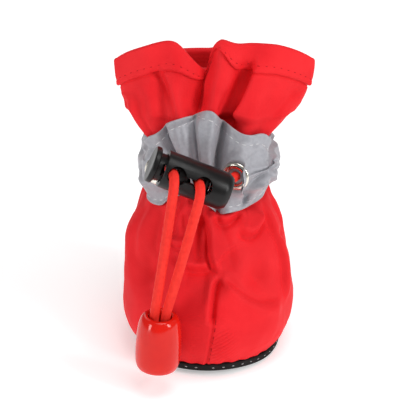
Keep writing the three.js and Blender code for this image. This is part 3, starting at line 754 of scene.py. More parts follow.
white_thread = finish("white_thread", (0.65, 0.65, 0.65), 0.7)
mottled(white_thread, (0.74, 0.74, 0.74), (0.5, 0.5, 0.52), 2500.0)

red_thread = finish("red_thread", (0.5, 0.01, 0.014), 0.8, Specular_IOR_Level=0.1)
mottled(red_thread, (0.5, 0.01, 0.014), (0.34, 0.005, 0.008), 2500.0)
print("finishes:", len(bpy.data.materials))

# %% [markdown]
# ## The upper
#
# One grid makes the whole upper: up the outside, over the turned hem and the collar's rounded edge, and
# down the inside. Rows are closer where the folds are sharp. The inside has fewer rows, so below the
# collar it hangs a little slack of the wall and no fold of the outside reaches it.

# %% Levels of the upper
def angles_around(count, gather):
    """Angles from the toe, all the way round, closer together at the front."""
    t = np.linspace(0, 2 * np.pi, count, endpoint=False)
    return t - gather * np.sin(t)


coarse = 1.0
around = angles_around(int(360 * coarse), 0.5)


def steps(low, high, count):
    """Evenly spaced levels without the last one."""
    return np.linspace(low, high, max(3, int(count * coarse)), endpoint=False)


def hem_share(angle):
    """The visible share of the hem's width: the collar rolls inwards beside the front seam."""
    off = np.degrees(turn(angle, math.radians(-1)))
    return 1 - 0.82 * np.where(off < 0, bump(off, 13), bump(off, 11))


hem_foot = 0.9  # the hem's profile starts this far below its edge
outside = np.concatenate([steps(rim_height, band_bottom - 1, 122), steps(band_bottom - 1, band_top - 3, 26),
                          steps(band_top - 3, hem_edge - hem_foot, 50)])
hem_profile = [(-0.9, -0.2), (-0.45, -0.35), (-0.4, 0.5), (-0.15, 0.85), (0.3, 1.0), (1.0, 1.0), (1.6, 0.82),
               (2.2, 0.95), (3.2, 1.0), (4.4, 0.98), (5.6, 0.95), (6.8, 0.92), (7.8, 0.9), (8.4, 0.86),
               (8.8, 0.62), (9.0, 0.15), (8.96, -0.45), (8.7, -0.95), (8.2, -1.15)]
hem_levels = np.array([hem_edge + rise for rise, _ in hem_profile])
hem_out = np.array([out for _, out in hem_profile])
inside = np.concatenate([steps(collar_height - 1.6, band_top, 16), steps(band_top, band_bottom, 6),
                         steps(band_bottom, rim_height, 12), [rim_height]])
levels = np.concatenate([outside, hem_levels, inside])
wall_slack = 2.6
slack = wall_slack * smooth(rim_height + 1.5, rim_height + 7, inside)
slack = slack * (1 - smooth(collar_height - 14, collar_height - 5, inside))
out = np.concatenate([np.zeros_like(outside), hem_out, -wall - slack])
print("upper:", len(levels), "levels of", len(around), "points,", len(inside), "of the levels inside")

# %% The upper
angle_grid, level_grid = np.broadcast_arrays(around[None, :], levels[:, None])
row = np.arange(len(levels))[:, None]
squeeze = hem_share(angle_grid)
below_top = collar_height - level_grid
span = hem_edge - hem_foot - band_top
in_hem = (row >= len(outside)) & (below_top < hem_width + 1)
level_grid = np.where(in_hem, collar_height - below_top * squeeze, level_grid)
stretch = (span + (hem_width + hem_foot) * (1 - squeeze)) / span
below_hem = (row < len(outside)) & (level_grid > band_top)
level_grid = np.where(below_hem, band_top + (level_grid - band_top) * stretch, level_grid)
raised = softened(relief(angle_grid, level_grid)[..., None], 2)[..., 0] + out[:, None]
upper_rings = form(angle_grid, level_grid) + outward(angle_grid, level_grid) * raised[..., None]
upper = ring_piece("upper_cloth", upper_rings, slot="upper_fabric")
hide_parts("upper")
upper.data.materials.append(nylon)
upper.data.materials.append(lining_cloth)
first_inside = len(outside) + len(hem_profile)
row_of_face = np.repeat(np.arange(len(levels)), len(around))
upper.data.polygons.foreach_set("material_index", (row_of_face >= first_inside).astype(int))

# %% [markdown]
# ## The reflective band
#
# The band is its own strip of cloth, sewn down at its two edges. Between them it stands off the ankle,
# because the drawcord runs inside, and the pull of the cord throws it into puffs. Round each eyelet it is
# flattened, so that the metal rings sit flat. It shares the pleats of the cloth below it.

# %% Puffs and edges of the band
# puffs: angle, its spread, height share, its spread and fullness
puffs = [(54, 22, -0.1, 0.32, 1.35), (-66, 20, -0.1, 0.3, 0.2), (118, 22, 0.02, 0.32, 0.55),
         (-122, 24, -0.05, 0.3, 0.35), (180, 22, 0.0, 0.34, 0.45)]
band_edges = np.array([  # angle, then how far the upper and the lower edge stray, in shares of the width
    (-180, -0.06, 0.02), (-140, -0.10, -0.02), (-105, -0.28, 0.04), (-78, -0.32, 0.00), (-62, -0.24, -0.08),
    (-48, -0.17, -0.04), (-38, -0.10, 0.08), (-34, -0.04, 0.10), (-26, 0.04, 0.14), (-12, 0.14, 0.12),
    (-8, 0.27, 0.10), (2, 0.20, 0.03), (12, 0.00, -0.05), (26, -0.10, -0.04), (44, -0.13, -0.02),
    (62, -0.26, 0.02), (78, -0.36, 0.04),
    (105, -0.32, 0.00), (140, -0.08, -0.02), (180, -0.06, 0.02)])
bridged = 0.75  # the share of a deep fold's depth that the band follows
print("puffs:", len(puffs), "and rows of the edges:", len(band_edges))


# %% The band's form
def band_height(angle, share):
    """The level on the ankle under a point of the band, from its lower edge (0) to its upper one (1)."""
    turned = np.degrees(turn(angle, 0))
    top = band_top + band_width * column(band_edges, 1, turned)
    bottom = band_bottom + band_width * column(band_edges, 2, turned)
    return mix(bottom, top, share)


def band_stand_off(angle, share):
    """How far the band stands off the ankle: the cord's channel and its puffs, none at the edges and
    none between the eyelets, where it is gathered flat."""
    turned = np.degrees(turn(angle, 0))
    gathered = smooth(-56, -40, turned) * (1 - smooth(14, 28, turned))
    roomy = smooth(0, 0.3, share) * (1 - smooth(0.7, 1, share)) * (1 - gathered)
    full = (cord_diameter + 4 * clearance) * roomy
    level = (band_height(angle, share) - cord_height) / band_width
    for at, spread, height, rise, fullness in puffs:
        near = bump(turn(angle, np.radians(at)), np.radians(spread))
        full = full + band_fold * fullness * roomy * near * bump(level - height, rise)
    return full


def band_way(angle, height):
    """The way in which the band stands off: the ankle's normal, with its rise cut to a quarter at the
    sides and the back, where the shaft flares so fast that plain normals would cross."""
    keep = 1 - 0.75 * smooth(58, 78, np.abs(np.degrees(turn(angle, 0))))
    return unit(outward(angle, height, 0.0) * np.stack([np.ones_like(keep), np.ones_like(keep), keep], -1))


def over_band(angle, share, out):
    """A point of the band, which bridges part of each deep fold."""
    height = band_height(angle, share)
    stand_off = band_stand_off(angle, share) + out
    return form(angle, height, bridged) + band_way(angle, height) * stand_off[..., None]


front_right_back = np.radians([-8.0, 90.0, 180.0])
upper_edge = band_height(front_right_back, 1.0)
print("the band's upper edge at the front, right and back:", upper_edge.round(1).tolist())

# %% Eyelet places
eyelet_hole, eyelet_flange, eyelet_plate = 5.0, 9.4, 0.6


def about_z(v, degrees):
    """A vector turned about the upright axis."""
    c, s = math.cos(math.radians(degrees)), math.sin(math.radians(degrees))
    return np.array([c * v[0] - s * v[1], s * v[0] + c * v[1], v[2]])


eyelets = {}
for eyelet_name, at, turned in (("eyelet_left", -52, -26), ("eyelet_right", 27, 46)):
    at = np.array(math.radians(at))
    middle_share = np.array(0.5)
    axis = about_z(outward(at, band_height(at, middle_share), 0.0), -turned)
    eyelets[eyelet_name] = (over_band(at, middle_share, np.array(0.0)), axis)
print("eyelets at", {name: np.round(seat, 1).tolist() for name, (seat, _) in eyelets.items()})


# %% Creases and pleats of the band
band_creases = [  # angle and share points, half width, depth, lip and step
    ([(58, 0.10), (55, 0.24), (50, 0.40)], 1.1, 2.2, 0.6, 0.8),
    ([(72, 0.72), (65, 0.64), (58, 0.58), (51, 0.56)], 1.0, 1.7, 0.6, 0.9),
    ([(80, 0.44), (70, 0.42), (58, 0.46)], 1.0, 1.5, 0.6, 0.7),
    ([(72, 0.86), (58, 0.8), (46, 0.84), (36, 0.8)], 0.8, 0.5, 0.3, 0.3),
    ([(96, 0.3), (84, 0.4), (76, 0.52), (70, 0.66)], 1.2, 0.8, 0.3, 0.5),
    ([(-84, 0.42), (-70, 0.4), (-58, 0.3)], 1.0, 0.9, 0.3, 0.6),
    ([(-104, 0.5), (-90, 0.55), (-75, 0.7)], 1.2, 0.9, 0.3, 0.5),
    ([(118, 0.3), (112, 0.55), (100, 0.75)], 1.2, 1.2, 0.4, 0.8),
    ([(150, 0.75), (142, 0.5), (130, 0.3)], 1.2, 1.0, 0.4, 0.6),
    ([(188, 0.25), (180, 0.5), (170, 0.75)], 1.2, 1.1, 0.4, 0.6),
    ([(-134, 0.75), (-140, 0.5), (-150, 0.25)], 1.2, 1.0, 0.4, 0.6),
    ([(-116, 0.7), (-112, 0.45), (-118, 0.2)], 1.2, 1.0, 0.4, 0.5),
]
pleats = [  # the upright folds at the front; these stay sharp up to the eyelets' rims
    ([(-9.5, -0.3), (-9.5, 0.5), (-8, 1.3)], 0.6, 2.3, 0.0, 2.0),
    ([(-33, -0.2), (-34, 0.55), (-33, 1.25)], 0.7, 1.8, 0.1, 2.1),
    ([(11, -0.3), (10.5, 0.3), (11, 0.65), (13, 1.3)], 1.1, 3.8, 0.2, 2.3),
    ([(-21, 0.25), (-21, 0.6), (-20, 1.0)], 0.9, 0.4, 0.1, 0.3),
    ([(33, 0.02), (38, 0.16), (43, 0.28), (49, 0.40), (56, 0.48)], 1.0, 3.0, 0.5, 1.9),
]
print("creases of the band:", len(band_creases), "pleats:", len(pleats))


# %% Points of the band
def band_relief(points, normals, angle, share):
    """The band's own creases, fine waves and a dent along each row of stitches."""
    total = 0.22 * waves(points, 23, 7.5, 6) * smooth(0.05, 0.25, share) * (1 - smooth(0.75, 0.95, share))
    total = total + sum(band_crease(points, normals, *one) for one in band_creases)
    rows = bump((share - 0.9) * band_width, 0.7) + bump((share - 0.06) * band_width, 0.7)
    return total - 0.3 * rows


def band_crease(points, normals, path, width, depth, lip, step):
    """A crease like those of the upper, with its path given on the band."""
    path = flowing(path)
    a, share = np.radians(path[:, 0]), path[:, 1]
    signed, along = along_path(points, normals, over_band(a, share, np.full_like(a, band_wall)))
    return fold_profile(signed, along, width, depth, lip, step)


roll_place, roll_depth = 7.1, 4.2  # the puff that rolls over: its distance from the eyelet and its size


def band_point(angle, share, out):
    """A point of the band with its creases. Near an eyelet it lies in the eyelet's plane, and the pleats
    come last, up to the eyelet's rim. Beside the right eyelet the puff rolls over towards the front."""
    plain = over_band(angle, share, np.zeros_like(share) + out)
    outer = over_band(angle, share, np.zeros_like(share) + band_wall)
    height = band_height(angle, share)
    way = band_way(angle, height)
    lift = band_relief(outer, way, angle, share) + gathers(angle, height)
    edge = 1 - smooth(0, 0.12, share) * (1 - smooth(0.88, 1, share))
    point = plain + way * (lift + 0.35 * edge)[..., None]
    free = 1.0
    for seat, axis in eyelets.values():
        offset = point - seat
        up, far = offset @ axis, np.linalg.norm(offset, axis=-1)
        flat = 1 - smooth(eyelet_flange * 0.54, eyelet_flange * 0.86, far)
        point = point + (flat * (out - up))[..., None] * axis
        free = free * smooth(eyelet_flange * 0.5, eyelet_flange * 0.62, far)
    folded = sum(band_crease(outer, way, *one) for one in pleats)
    point = point + way * (free * folded)[..., None]
    seat, axis = eyelets["eyelet_right"]
    rightwards = unit(np.cross((0, 0, 1), axis))
    offset = outer - seat
    beside = bump(np.linalg.norm(offset, axis=-1) - roll_place, 2.0)
    beside = beside * smooth(0.25, 0.85, unit(offset) @ rightwards)
    return point + roll_depth * beside[..., None] * np.array((-0.72, -0.7, 0.0))


front = band_point(np.array([0.0]), np.array([0.5]), np.array([band_wall]))
print("the band at the front, halfway up:", front[0].round(1).tolist())

# %% The band
band_around = angles_around(int(320 * coarse), 0.42)
band_thickness = 0.85
outer_shares = np.concatenate([[0.0, 0.0], np.linspace(0.004, 0.996, int(66 * coarse)), [1.0, 1.0]])
edge_out = [band_wall - band_thickness, band_wall - 0.25]
outer_out = np.concatenate([edge_out, np.full(int(66 * coarse), band_wall), edge_out[::-1]])
inner_shares = np.linspace(0.98, 0.02, int(22 * coarse))
shares = np.concatenate([outer_shares, inner_shares])
outs = np.concatenate([outer_out, np.full_like(inner_shares, band_wall - band_thickness)])
a_grid, s_grid = np.broadcast_arrays(band_around[None, :], shares[:, None])
band_rings = softened(band_point(a_grid, s_grid, np.broadcast_to(outs[:, None], a_grid.shape)), 3)
band = ring_piece("band_cloth", band_rings, slot="reflective_band")
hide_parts("ankle_band")
band.data.materials.append(reflective)

# %% [markdown]
# ## Turned pieces: eyelets, bell, cord lock
#
# Anything turned on a lathe is a profile carried round an axis. The profile is given as radius and
# height pairs, rounded by cutting its corners a few times, and the same helper stands each piece on its
# own axis.


# %% Lathe helpers
def rounded(profile, times=2, closed=False):
    """Chaikin's corner cutting: each corner is replaced by two points a quarter of the way along its
    sides, so a profile with few points becomes a smooth curve. Open profiles keep their two ends."""
    p = np.array(profile, float)
    for _ in range(times):
        following = np.roll(p, -1, axis=0) if closed else p[1:]
        before = p if closed else p[:-1]
        cut = np.stack([mix(before, following, 0.25), mix(before, following, 0.75)], 1).reshape(-1, 2)
        p = cut if closed else np.concatenate([p[:1], cut, p[-1:]])
    return p


def axes_of(axis):
    """Two directions square to an axis, and the axis."""
    axis = unit(np.array(axis, float))
    side = unit(np.cross((0, 0, 1) if abs(axis[2]) < 0.95 else (1, 0, 0), axis))
    return side, np.cross(axis, side), axis


def lathe_rings(profile, place, axis, sides):
    """Rings of points: radius times the two side directions, plus height times the axis."""
    side, other, axis = axes_of(axis)
    t = np.linspace(0, 2 * np.pi, sides, endpoint=False)
    circle = np.cos(t)[:, None] * side + np.sin(t)[:, None] * other
    return np.array(place) + profile[:, 0, None, None] * circle + profile[:, 1, None, None] * axis


square = rounded([(0, 0), (1, 0), (1, 1), (0, 1)], 2, True)
print("a square with its corners cut twice has", len(square), "points")

# %% Eyelets
for eyelet_name, (seat, axis) in eyelets.items():
    hole, flange = eyelet_hole / 2, eyelet_flange / 2
    tube = hole + 0.6  # the short tube through the cloth, which joins the two faces
    inside_face, outside_face = -clearance, band_wall + clearance
    ring = [(hole, inside_face - eyelet_plate), (flange * 0.88, inside_face - eyelet_plate),
            (flange * 0.9, inside_face - 0.05), (tube, inside_face), (tube, outside_face - 0.1),
            (flange, outside_face - 0.1), (flange, outside_face + 0.35),
            (mix(hole, flange, 0.55), outside_face + 0.95), (hole, outside_face + 0.45)]
    eyelet_rings = lathe_rings(rounded(ring, 2, True), seat, axis, 72)
    eyelet = ring_piece(eyelet_name + "_ring", eyelet_rings, slot="eyelet_metal")
    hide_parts(eyelet_name)
    eyelet.data.materials.append(nickel)

# %% [markdown]
# ## The drawcord
#
# Each free end comes out of its eyelet, passes its hole in the lock from behind, bends over the hole's
# edge and falls to the bell, a little slack. The route is a smooth curve through a few points, and the
# cord is a tube round it whose braid is real relief: two sets of strands that wind in opposite ways.

# %% Places of the lock and the bell
lock_diameter, lock_length, lock_wall = 12.4, 22.8, 1.4
lock_hole, lock_hole_spacing, lock_hole_inset = 6.2, 9.0, 4.2
lock_place = np.array([-10.4, -20.8, 70.2])
lock_axis = unit(np.array([0.92, -0.03, -0.39]))
lock_front = np.array([0, -math.cos(math.radians(20)), math.sin(math.radians(20))])
lock_front = unit(lock_front - (lock_front @ lock_axis) * lock_axis)
lock_side = np.cross(lock_front, lock_axis)
cord_in_hole = cord_radius + clearance - lock_hole / 2
bell_mouth_at = np.array([-15.4, -38.2, 27.2])
bell_axis = unit(np.array([-0.06, -0.06, -1.0]))


def in_lock(points):
    """From the lock's own frame, x along the barrel and z towards the front, to the bootie's."""
    points = np.asarray(points, float)
    x, y, z = (points[..., k:k + 1] for k in range(3))
    return lock_place + x * lock_axis + y * lock_side + z * lock_front


print("the lock's holes at", in_lock([(0, 0, 0), (lock_hole_spacing, 0, 0)]).round(1).tolist())

# %% Smooth routes
bend_ease = 1.9  # how far a bend of the soft cord spreads to each side of its corner


def travelled(path):
    """The distance along a path at each of its points."""
    return np.concatenate([[0], np.cumsum(np.linalg.norm(np.diff(path, axis=0), axis=1))])


def at_distance(distance, travel, values):
    """The values that a path's points carry, at any distance along it."""
    return np.stack([np.interp(distance, travel, values[:, k]) for k in range(3)], -1)


def evenly(path, count):
    """The same path with evenly spaced points, and its length."""
    travel = travelled(path)
    return at_distance(np.linspace(0, travel[-1], count), travel, path), travel[-1]


def smooth_route(stops, count):
    """A Catmull-Rom curve through the stops with centripetal spacing, then each point replaced by a mean
    of its neighbours that is weighted with a bell curve, because a soft cord has no sharp bend."""
    stops = np.array(stops, float)
    stops = np.concatenate([[2 * stops[0] - stops[1]], stops, [2 * stops[-1] - stops[-2]]])
    knots = np.concatenate([[0], np.cumsum(np.sqrt(np.linalg.norm(np.diff(stops, axis=0), axis=1)))])
    pieces = []
    for k in range(1, len(stops) - 2):
        t = np.linspace(knots[k], knots[k + 1], 24, endpoint=False)[:, None]
        p, q = stops[k - 1:k + 3], knots[k - 1:k + 3]
        blend = lambda a, b, ta, tb: (tb - t) / (tb - ta) * a + (t - ta) / (tb - ta) * b
        a1, a2, a3 = (blend(p[n], p[n + 1], q[n], q[n + 1]) for n in range(3))
        b1, b2 = blend(a1, a2, q[0], q[2]), blend(a2, a3, q[1], q[3])
        pieces.append(blend(b1, b2, q[1], q[2]))
    path = np.concatenate([*pieces, stops[-2:-1]])
    path, length = evenly(path, count)
    soft = bend_ease * count / length
    weights = bump(np.arange(-int(3 * soft), int(3 * soft) + 1), 1.414 * soft)
    reach = len(weights) // 2
    before = path[0] + (path[0] - path[1]) * np.arange(reach, 0, -1)[:, None]
    after = path[-1] + (path[-1] - path[-2]) * np.arange(1, reach + 1)[:, None]
    longer = np.concatenate([before, path, after])
    eased = np.stack([np.convolve(longer[:, k], weights / weights.sum(), "valid") for k in range(3)], -1)
    return evenly(eased, count)


corner = smooth_route([(0, 0, 0), (10, 0, 0), (10, 10, 0)], 40)
print("a square corner with sides of 10 mm is", round(corner[1], 1), "mm long as a cord")


# %% Stops of the free ends
def cord_route(eyelet_name, hole, aside):
    """The stops of one free end, from inside its eyelet to the knot in the bell."""
    seat, axis = eyelets[eyelet_name]
    face = band_wall + clearance + eyelet_plate / 2
    exit_at = in_lock([hole + cord_in_hole, 0, lock_diameter * 0.66])
    mouth = bell_mouth_at + (aside, 0, 0.5)
    over = exit_at + (0, -2.4, -2.2)
    fall = [mix(over, mouth, s) + (0, -1.6 * math.sin(s * math.pi), 0) for s in (0.12, 0.35, 0.65, 0.9)]
    return [
        seat - 1.6 * axis,
        *[seat + axis * (face + s * cord_diameter) for s in (0, 0.5, 1)],
        *[in_lock([hole + cord_in_hole, 0, lock_diameter * s]) for s in (-0.72, -0.5, -0.2, 0.2, 0.45)],
        exit_at, over, *fall, mouth, mouth + 3.4 * bell_axis,
    ]


print("stops of the left end:", len(cord_route("eyelet_left", 0.0, 0.0)))


# %% Cord tubes
def tube_rings(path, sides, radius):
    """Rings round a path. The frame is carried along without twist: each side direction is the last
    one made square to the new direction. radius is a function of distance along and angle round."""
    along = unit(np.gradient(path, axis=0))
    sideways = [axes_of(along[0])[0]]
    for way in along[1:]:
        sideways.append(unit(sideways[-1] - (sideways[-1] @ way) * way))
    sideways = np.array(sideways)
    other = np.cross(along, sideways)
    travel = travelled(path)
    t = np.linspace(0, 2 * np.pi, sides, endpoint=False)[None, :]
    r = radius(travel[:, None], t)[..., None]
    circle = np.cos(t)[..., None] * sideways[:, None] + np.sin(t)[..., None] * other[:, None]
    return path[:, None] + r * circle


def braided(travel, t):
    """Two crossing sets of strands on a round cord, with five shallow grooves along it."""
    pitch = 5.2
    wound = 2 * np.pi * travel / pitch
    over = np.abs(np.sin(5 * t + wound)) + np.abs(np.sin(5 * t - wound))
    grooves = bump(np.sin(2.5 * t), 0.25)
    return cord_radius * (0.965 + 0.03 * over - 0.14 * grooves)


def tube_piece(name, path, sides, radius, **more):
    """A tube with both ends closed to a point."""
    rings = tube_rings(path, sides, radius)
    ends = [np.broadcast_to(path[k], (1, sides, 3)) for k in (0, -1)]
    rings = np.concatenate([ends[0], rings, ends[1]])
    return capped_piece(name, rings, **more)


thick, thin = (2 * float(braided(np.array(0.0), np.array(t))) for t in (0.5, 0.0))
print("the cord is", round(thick, 2), "mm thick on a strand and", round(thin, 2), "mm in a groove")

# %% Free ends of the drawcord
cords = {}
for cord_name, eyelet_name, hole, aside in (("cord_left", "eyelet_left", 0.0, -1.8),
                                            ("cord_right", "eyelet_right", lock_hole_spacing, 1.8)):
    path, length = smooth_route(cord_route(eyelet_name, hole, aside), int(260 * coarse))
    cord = tube_piece(cord_name + "_braid", path, 28, braided, slot="cord")
    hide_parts(cord_name)
    cord.data.materials.append(elastic)
    cords[cord_name] = (cord, path, length)
    print(cord_name, "is", round(length, 1), "mm long")

# %% [markdown]
# ## The cord lock
#
# The lock is a barrel with a closed end, and a plunger that slides in it against a small spring. Two
# holes go through both. The solids are turned profiles, the holes are cut with the Boolean modifier, and
# the Bevel modifier then rounds every cut edge, as a moulding has.


# %% Cutting and rounding helpers
def applied(piece):
    """Makes the modifiers of a piece part of its mesh."""
    graph = bpy.context.evaluated_depsgraph_get()
    mesh = bpy.data.meshes.new_from_object(piece.evaluated_get(graph))
    old = piece.data
    piece.modifiers.clear()
    piece.data = mesh
    bpy.data.meshes.remove(old)
    return piece


def prism(name, outline, low, high):
    """A straight cutter in the lock's frame: an outline of x and y pairs, from low to high along z."""
    outline = np.array(outline, float)
    n = len(outline)
    ends = [np.concatenate([outline, np.full((n, 1), z)], 1) for z in (low, high)]
    i = np.arange(n)
    faces = np.stack([i, (i + 1) % n, n + (i + 1) % n, n + i], -1).tolist()
    faces += [list(range(n))[::-1], list(range(n, 2 * n))]
    mesh = bpy.data.meshes.new(name)
    mesh.from_pydata((in_lock(np.concatenate(ends)) * mm).tolist(), [], faces)
    cutter = bpy.data.objects.new(name, mesh)
    bpy.context.scene.collection.objects.link(cutter)
    return cutter


def cut_and_round(piece, cutters, bevel):
    """Takes the cutters out of the piece, then rounds its sharp edges."""
    for cutter in cutters:
        cut = piece.modifiers.new("cut", "BOOLEAN")
        cut.operation, cut.solver, cut.object = "DIFFERENCE", "EXACT", cutter
        applied(piece)
        mesh = cutter.data
        bpy.data.objects.remove(cutter)
        bpy.data.meshes.remove(mesh)
    soften = piece.modifiers.new("edges", "BEVEL")
    soften.width, soften.segments, soften.limit_method = bevel * mm, 3, "ANGLE"
    soften.angle_limit, soften.harden_normals = math.radians(38), True
    applied(piece)
    return piece


print("the lock's holes are", lock_hole, "mm wide and", lock_hole_spacing, "mm apart")

# %% Barrel
lock_outer = lock_diameter / 2
lock_bore = lock_outer - lock_wall
barrel_open = -lock_hole_inset
barrel_closed = barrel_open + lock_length


def arc(cx, cy, radius, start, end, count=40):
    """Points on a circle from one angle to another, in degrees."""
    t = np.radians(np.linspace(start, end, count))
    return [(cx + radius * math.cos(a), cy + radius * math.sin(a)) for a in t]


waist = math.degrees(math.asin(0.3))  # a slot 0.3 of a hole wide joins the two holes
slot_outline = [
    *arc(0, 0, lock_hole / 2, waist, 360 - waist),
    *arc(lock_hole_spacing, 0, lock_hole / 2, 180 + waist, 540 - waist),
]
barrel_profile = np.array([
    (0, barrel_closed - lock_wall), (lock_bore, barrel_closed - lock_wall), (lock_bore, barrel_open),
    (lock_outer - 0.2, barrel_open), (lock_outer, barrel_open + 0.3), (lock_outer, barrel_closed - 2.4),
    (lock_outer - 0.25, barrel_closed - 1.5), (lock_outer - 1.0, barrel_closed - 0.2),
    (lock_outer - 1.4, barrel_closed), (0, barrel_closed)])
barrel_rings = lathe_rings(barrel_profile, lock_place, lock_axis, 72)
barrel = capped_piece("barrel_moulding", barrel_rings, slot="lock_plastic")
cut_and_round(barrel, [prism("slot_cutter", slot_outline, -lock_diameter, lock_diameter)], 0.3)
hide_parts("lock_barrel")
barrel.data.materials.append(black_plastic)

# %% Plunger
plunger_travel, plunger_knob, plunger_knob_thickness = 2.1, 12.0, 2.0
plunger_radius = lock_bore - clearance
knob_inner = barrel_open - plunger_travel - clearance
knob_outer = knob_inner - plunger_knob_thickness
slot_low = cord_in_hole - cord_radius - clearance - plunger_travel
slot_high = cord_in_hole + cord_radius + clearance
plunger_end = lock_hole_spacing + slot_high + 1
knob_radius = plunger_knob / 2
plunger_profile = np.array([
    (0, knob_outer + 0.3), (knob_radius * 0.55, knob_outer + 0.25), (knob_radius - 0.8, knob_outer),
    (knob_radius - 0.3, knob_outer + 0.1), (knob_radius, knob_outer + 0.5), (knob_radius, knob_inner - 0.4),
    (knob_radius - 0.4, knob_inner), (plunger_radius + 0.01, knob_inner), (plunger_radius, knob_inner + 0.05),
    (plunger_radius, plunger_end - 0.3), (plunger_radius - 0.3, plunger_end), (0, plunger_end)])
plunger_rings = lathe_rings(plunger_profile, lock_place, lock_axis, 64)
plunger = capped_piece("plunger_moulding", plunger_rings, body="plunger", slot="lock_plastic")
half_slot = cord_radius + clearance
slots = []
for hole in (0.0, lock_hole_spacing):
    low, high = hole + slot_low, hole + slot_high
    slot_corners = [(low, -half_slot), (high, -half_slot), (high, half_slot), (low, half_slot)]
    slots.append(prism("slot_cutter", slot_corners, -lock_diameter, lock_diameter))
cut_and_round(plunger, slots, 0.18)
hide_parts("lock_plunger")
plunger.data.materials.append(black_plastic)

# %% Spring
spring_start, spring_end = plunger_end + 0.4, barrel_closed - lock_wall - 0.3
coil_radius, wire_radius, coil_turns = 3.6, 0.26, 4.5
turns = np.linspace(0, coil_turns * 2 * np.pi, 150)
along_coil = mix(spring_start, spring_end, turns / turns[-1])
coil_path = in_lock(np.stack([along_coil, coil_radius * np.cos(turns), coil_radius * np.sin(turns)], -1))
coil = tube_piece("lock_spring", coil_path, 8, lambda s, t: wire_radius + 0 * s * t, slot="eyelet_metal")
coil.data.materials.append(steel)
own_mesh(coil)

# %% [markdown]
# ## The bell, its lid and the knot
#
# The bell is a glossy moulded cover for the knotted cord ends: a narrow flat top, round shoulders, nearly
# straight sides and a drawn-in lower rim, with a lid and a small nub below.

# %% Bell
bell_length, bell_diameter, bell_wall, bell_mouth = 20.0, 14.8, 1.3, 7.5
bell_radius, mouth_radius = bell_diameter / 2, bell_mouth / 2
bell_profile = [
    (mouth_radius, 0.2), (mouth_radius + 0.6, -0.3), (mouth_radius + 1.8, -0.1),
    (bell_radius * 0.87, bell_length * 0.07), (bell_radius * 0.96, bell_length * 0.24),
    (bell_radius, bell_length * 0.5), (bell_radius, bell_length * 0.7),
    (bell_radius * 0.96, bell_length * 0.85), (bell_radius * 0.86, bell_length * 0.93),
    (bell_radius * 0.72, bell_length * 0.945), (bell_radius * 0.68, bell_length * 0.92),
    (bell_radius - bell_wall * 1.3, bell_length * 0.74), (bell_radius - bell_wall, bell_length * 0.5),
    (bell_radius * 0.95 - bell_wall, bell_length * 0.34), (mouth_radius, bell_wall * 1.2)]
bell_rings = lathe_rings(rounded(bell_profile, 3, True), bell_mouth_at, bell_axis, 96)
bell = ring_piece("bell_moulding", bell_rings, slot="bell_plastic")
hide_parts("bell")
bell.data.materials.append(bell_plastic)

# %% Lid and knot
lid_thickness = 1.6
lid_seat = bell_diameter * 0.39 - bell_wall * 0.8 - clearance
lid_low = bell_length - lid_thickness * 1.25
lid_profile = [
    (0, lid_low), (lid_seat * 0.9, lid_low), (lid_seat, lid_low + 0.3),
    (lid_seat, lid_low + lid_thickness * 0.7), (lid_seat * 0.7, lid_low + lid_thickness),
    (lid_seat * 0.5, lid_low + lid_thickness * 1.3), (lid_seat * 0.3, lid_low + lid_thickness * 1.4),
    (0, lid_low + lid_thickness * 1.4)]
lid_rings = lathe_rings(rounded(lid_profile, 2), bell_mouth_at, bell_axis, 72)
lid = capped_piece("bell_lid_moulding", lid_rings, slot="bell_plastic")
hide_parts("bell_lid")
lid.data.materials.append(bell_plastic)

knot_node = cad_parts["cord_knot"]
casing_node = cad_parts["casing_cord"]
for node in (knot_node, casing_node):
    node.data.materials.clear()
    node.data.materials.append(elastic)

# %% [markdown]
# ## Sole and insole
#
# The sole is a flat plate over the outline that the upper stands on. Its edge is rounded, and its
# underside has a grid of small round studs for grip. The grooves between them are cut upwards, so the
# studs' faces stay on the floor.


# %% Outlines and plates
def outline_of(grow, count):
    """The rim of the upper at the sole, grown or shrunk sideways."""
    t = np.linspace(0, 2 * np.pi, count, endpoint=False)
    rim = form(t, np.full_like(t, rim_height))[:, :2]
    side = unit(np.stack([np.sin(t) / foot_width, -np.cos(t) / foot_length], -1))
    return rim + grow * side


def plate_rings(outline, profile):
    """Rings over an outline: each profile row is a share of the outline, an inset and a level."""
    size = np.linalg.norm(outline, axis=-1, keepdims=True)
    rings = []
    for share, inset, level in profile:
        flat = outline * share * (1 - inset / size)
        rings.append(np.concatenate([flat, level + spring(flat[:, 1:])], 1))
    return np.array(rings)


print("the rim is", np.ptp(outline_of(0, 200), axis=0).round(1).tolist(), "mm wide and long")

# %% Sole
sole_outline = outline_of(0.3, int(220 * coarse))
inner_shares = np.linspace(0.0, 0.985, int(58 * coarse))
sole_profile = [(s, 0.0, 0.0) for s in inner_shares]
sole_profile += [
    (1, 0.5, 0.0), (1, 0.2, 0.12), (1, 0.03, 0.4), (1, 0.0, 0.8), (1, 0.12, 1.15), (1, 0.12, 1.3),
    (1, 0.0, 1.6), (1, 0.03, 2.0), (1, 0.2, 2.28), (1, 0.5, sole_thickness),
    (0.9, 0, sole_thickness), (0.5, 0, sole_thickness), (0, 0, sole_thickness)]
sole_rings = plate_rings(sole_outline, sole_profile)
flat = sole_rings[:len(inner_shares)]
stud_pitch, groove_depth = 4.2, 0.5
cell = np.hypot(*((flat[..., k] / stud_pitch + 0.5) % 1 - 0.5 for k in (0, 1)))
flat[..., 2] += groove_depth * smooth(0.26, 0.36, cell) * (inner_shares < 0.95)[:, None]
outsole = capped_piece("outsole_rubber", sole_rings, slot="outsole_rubber")
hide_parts("outsole")
outsole.data.materials.append(rubber)

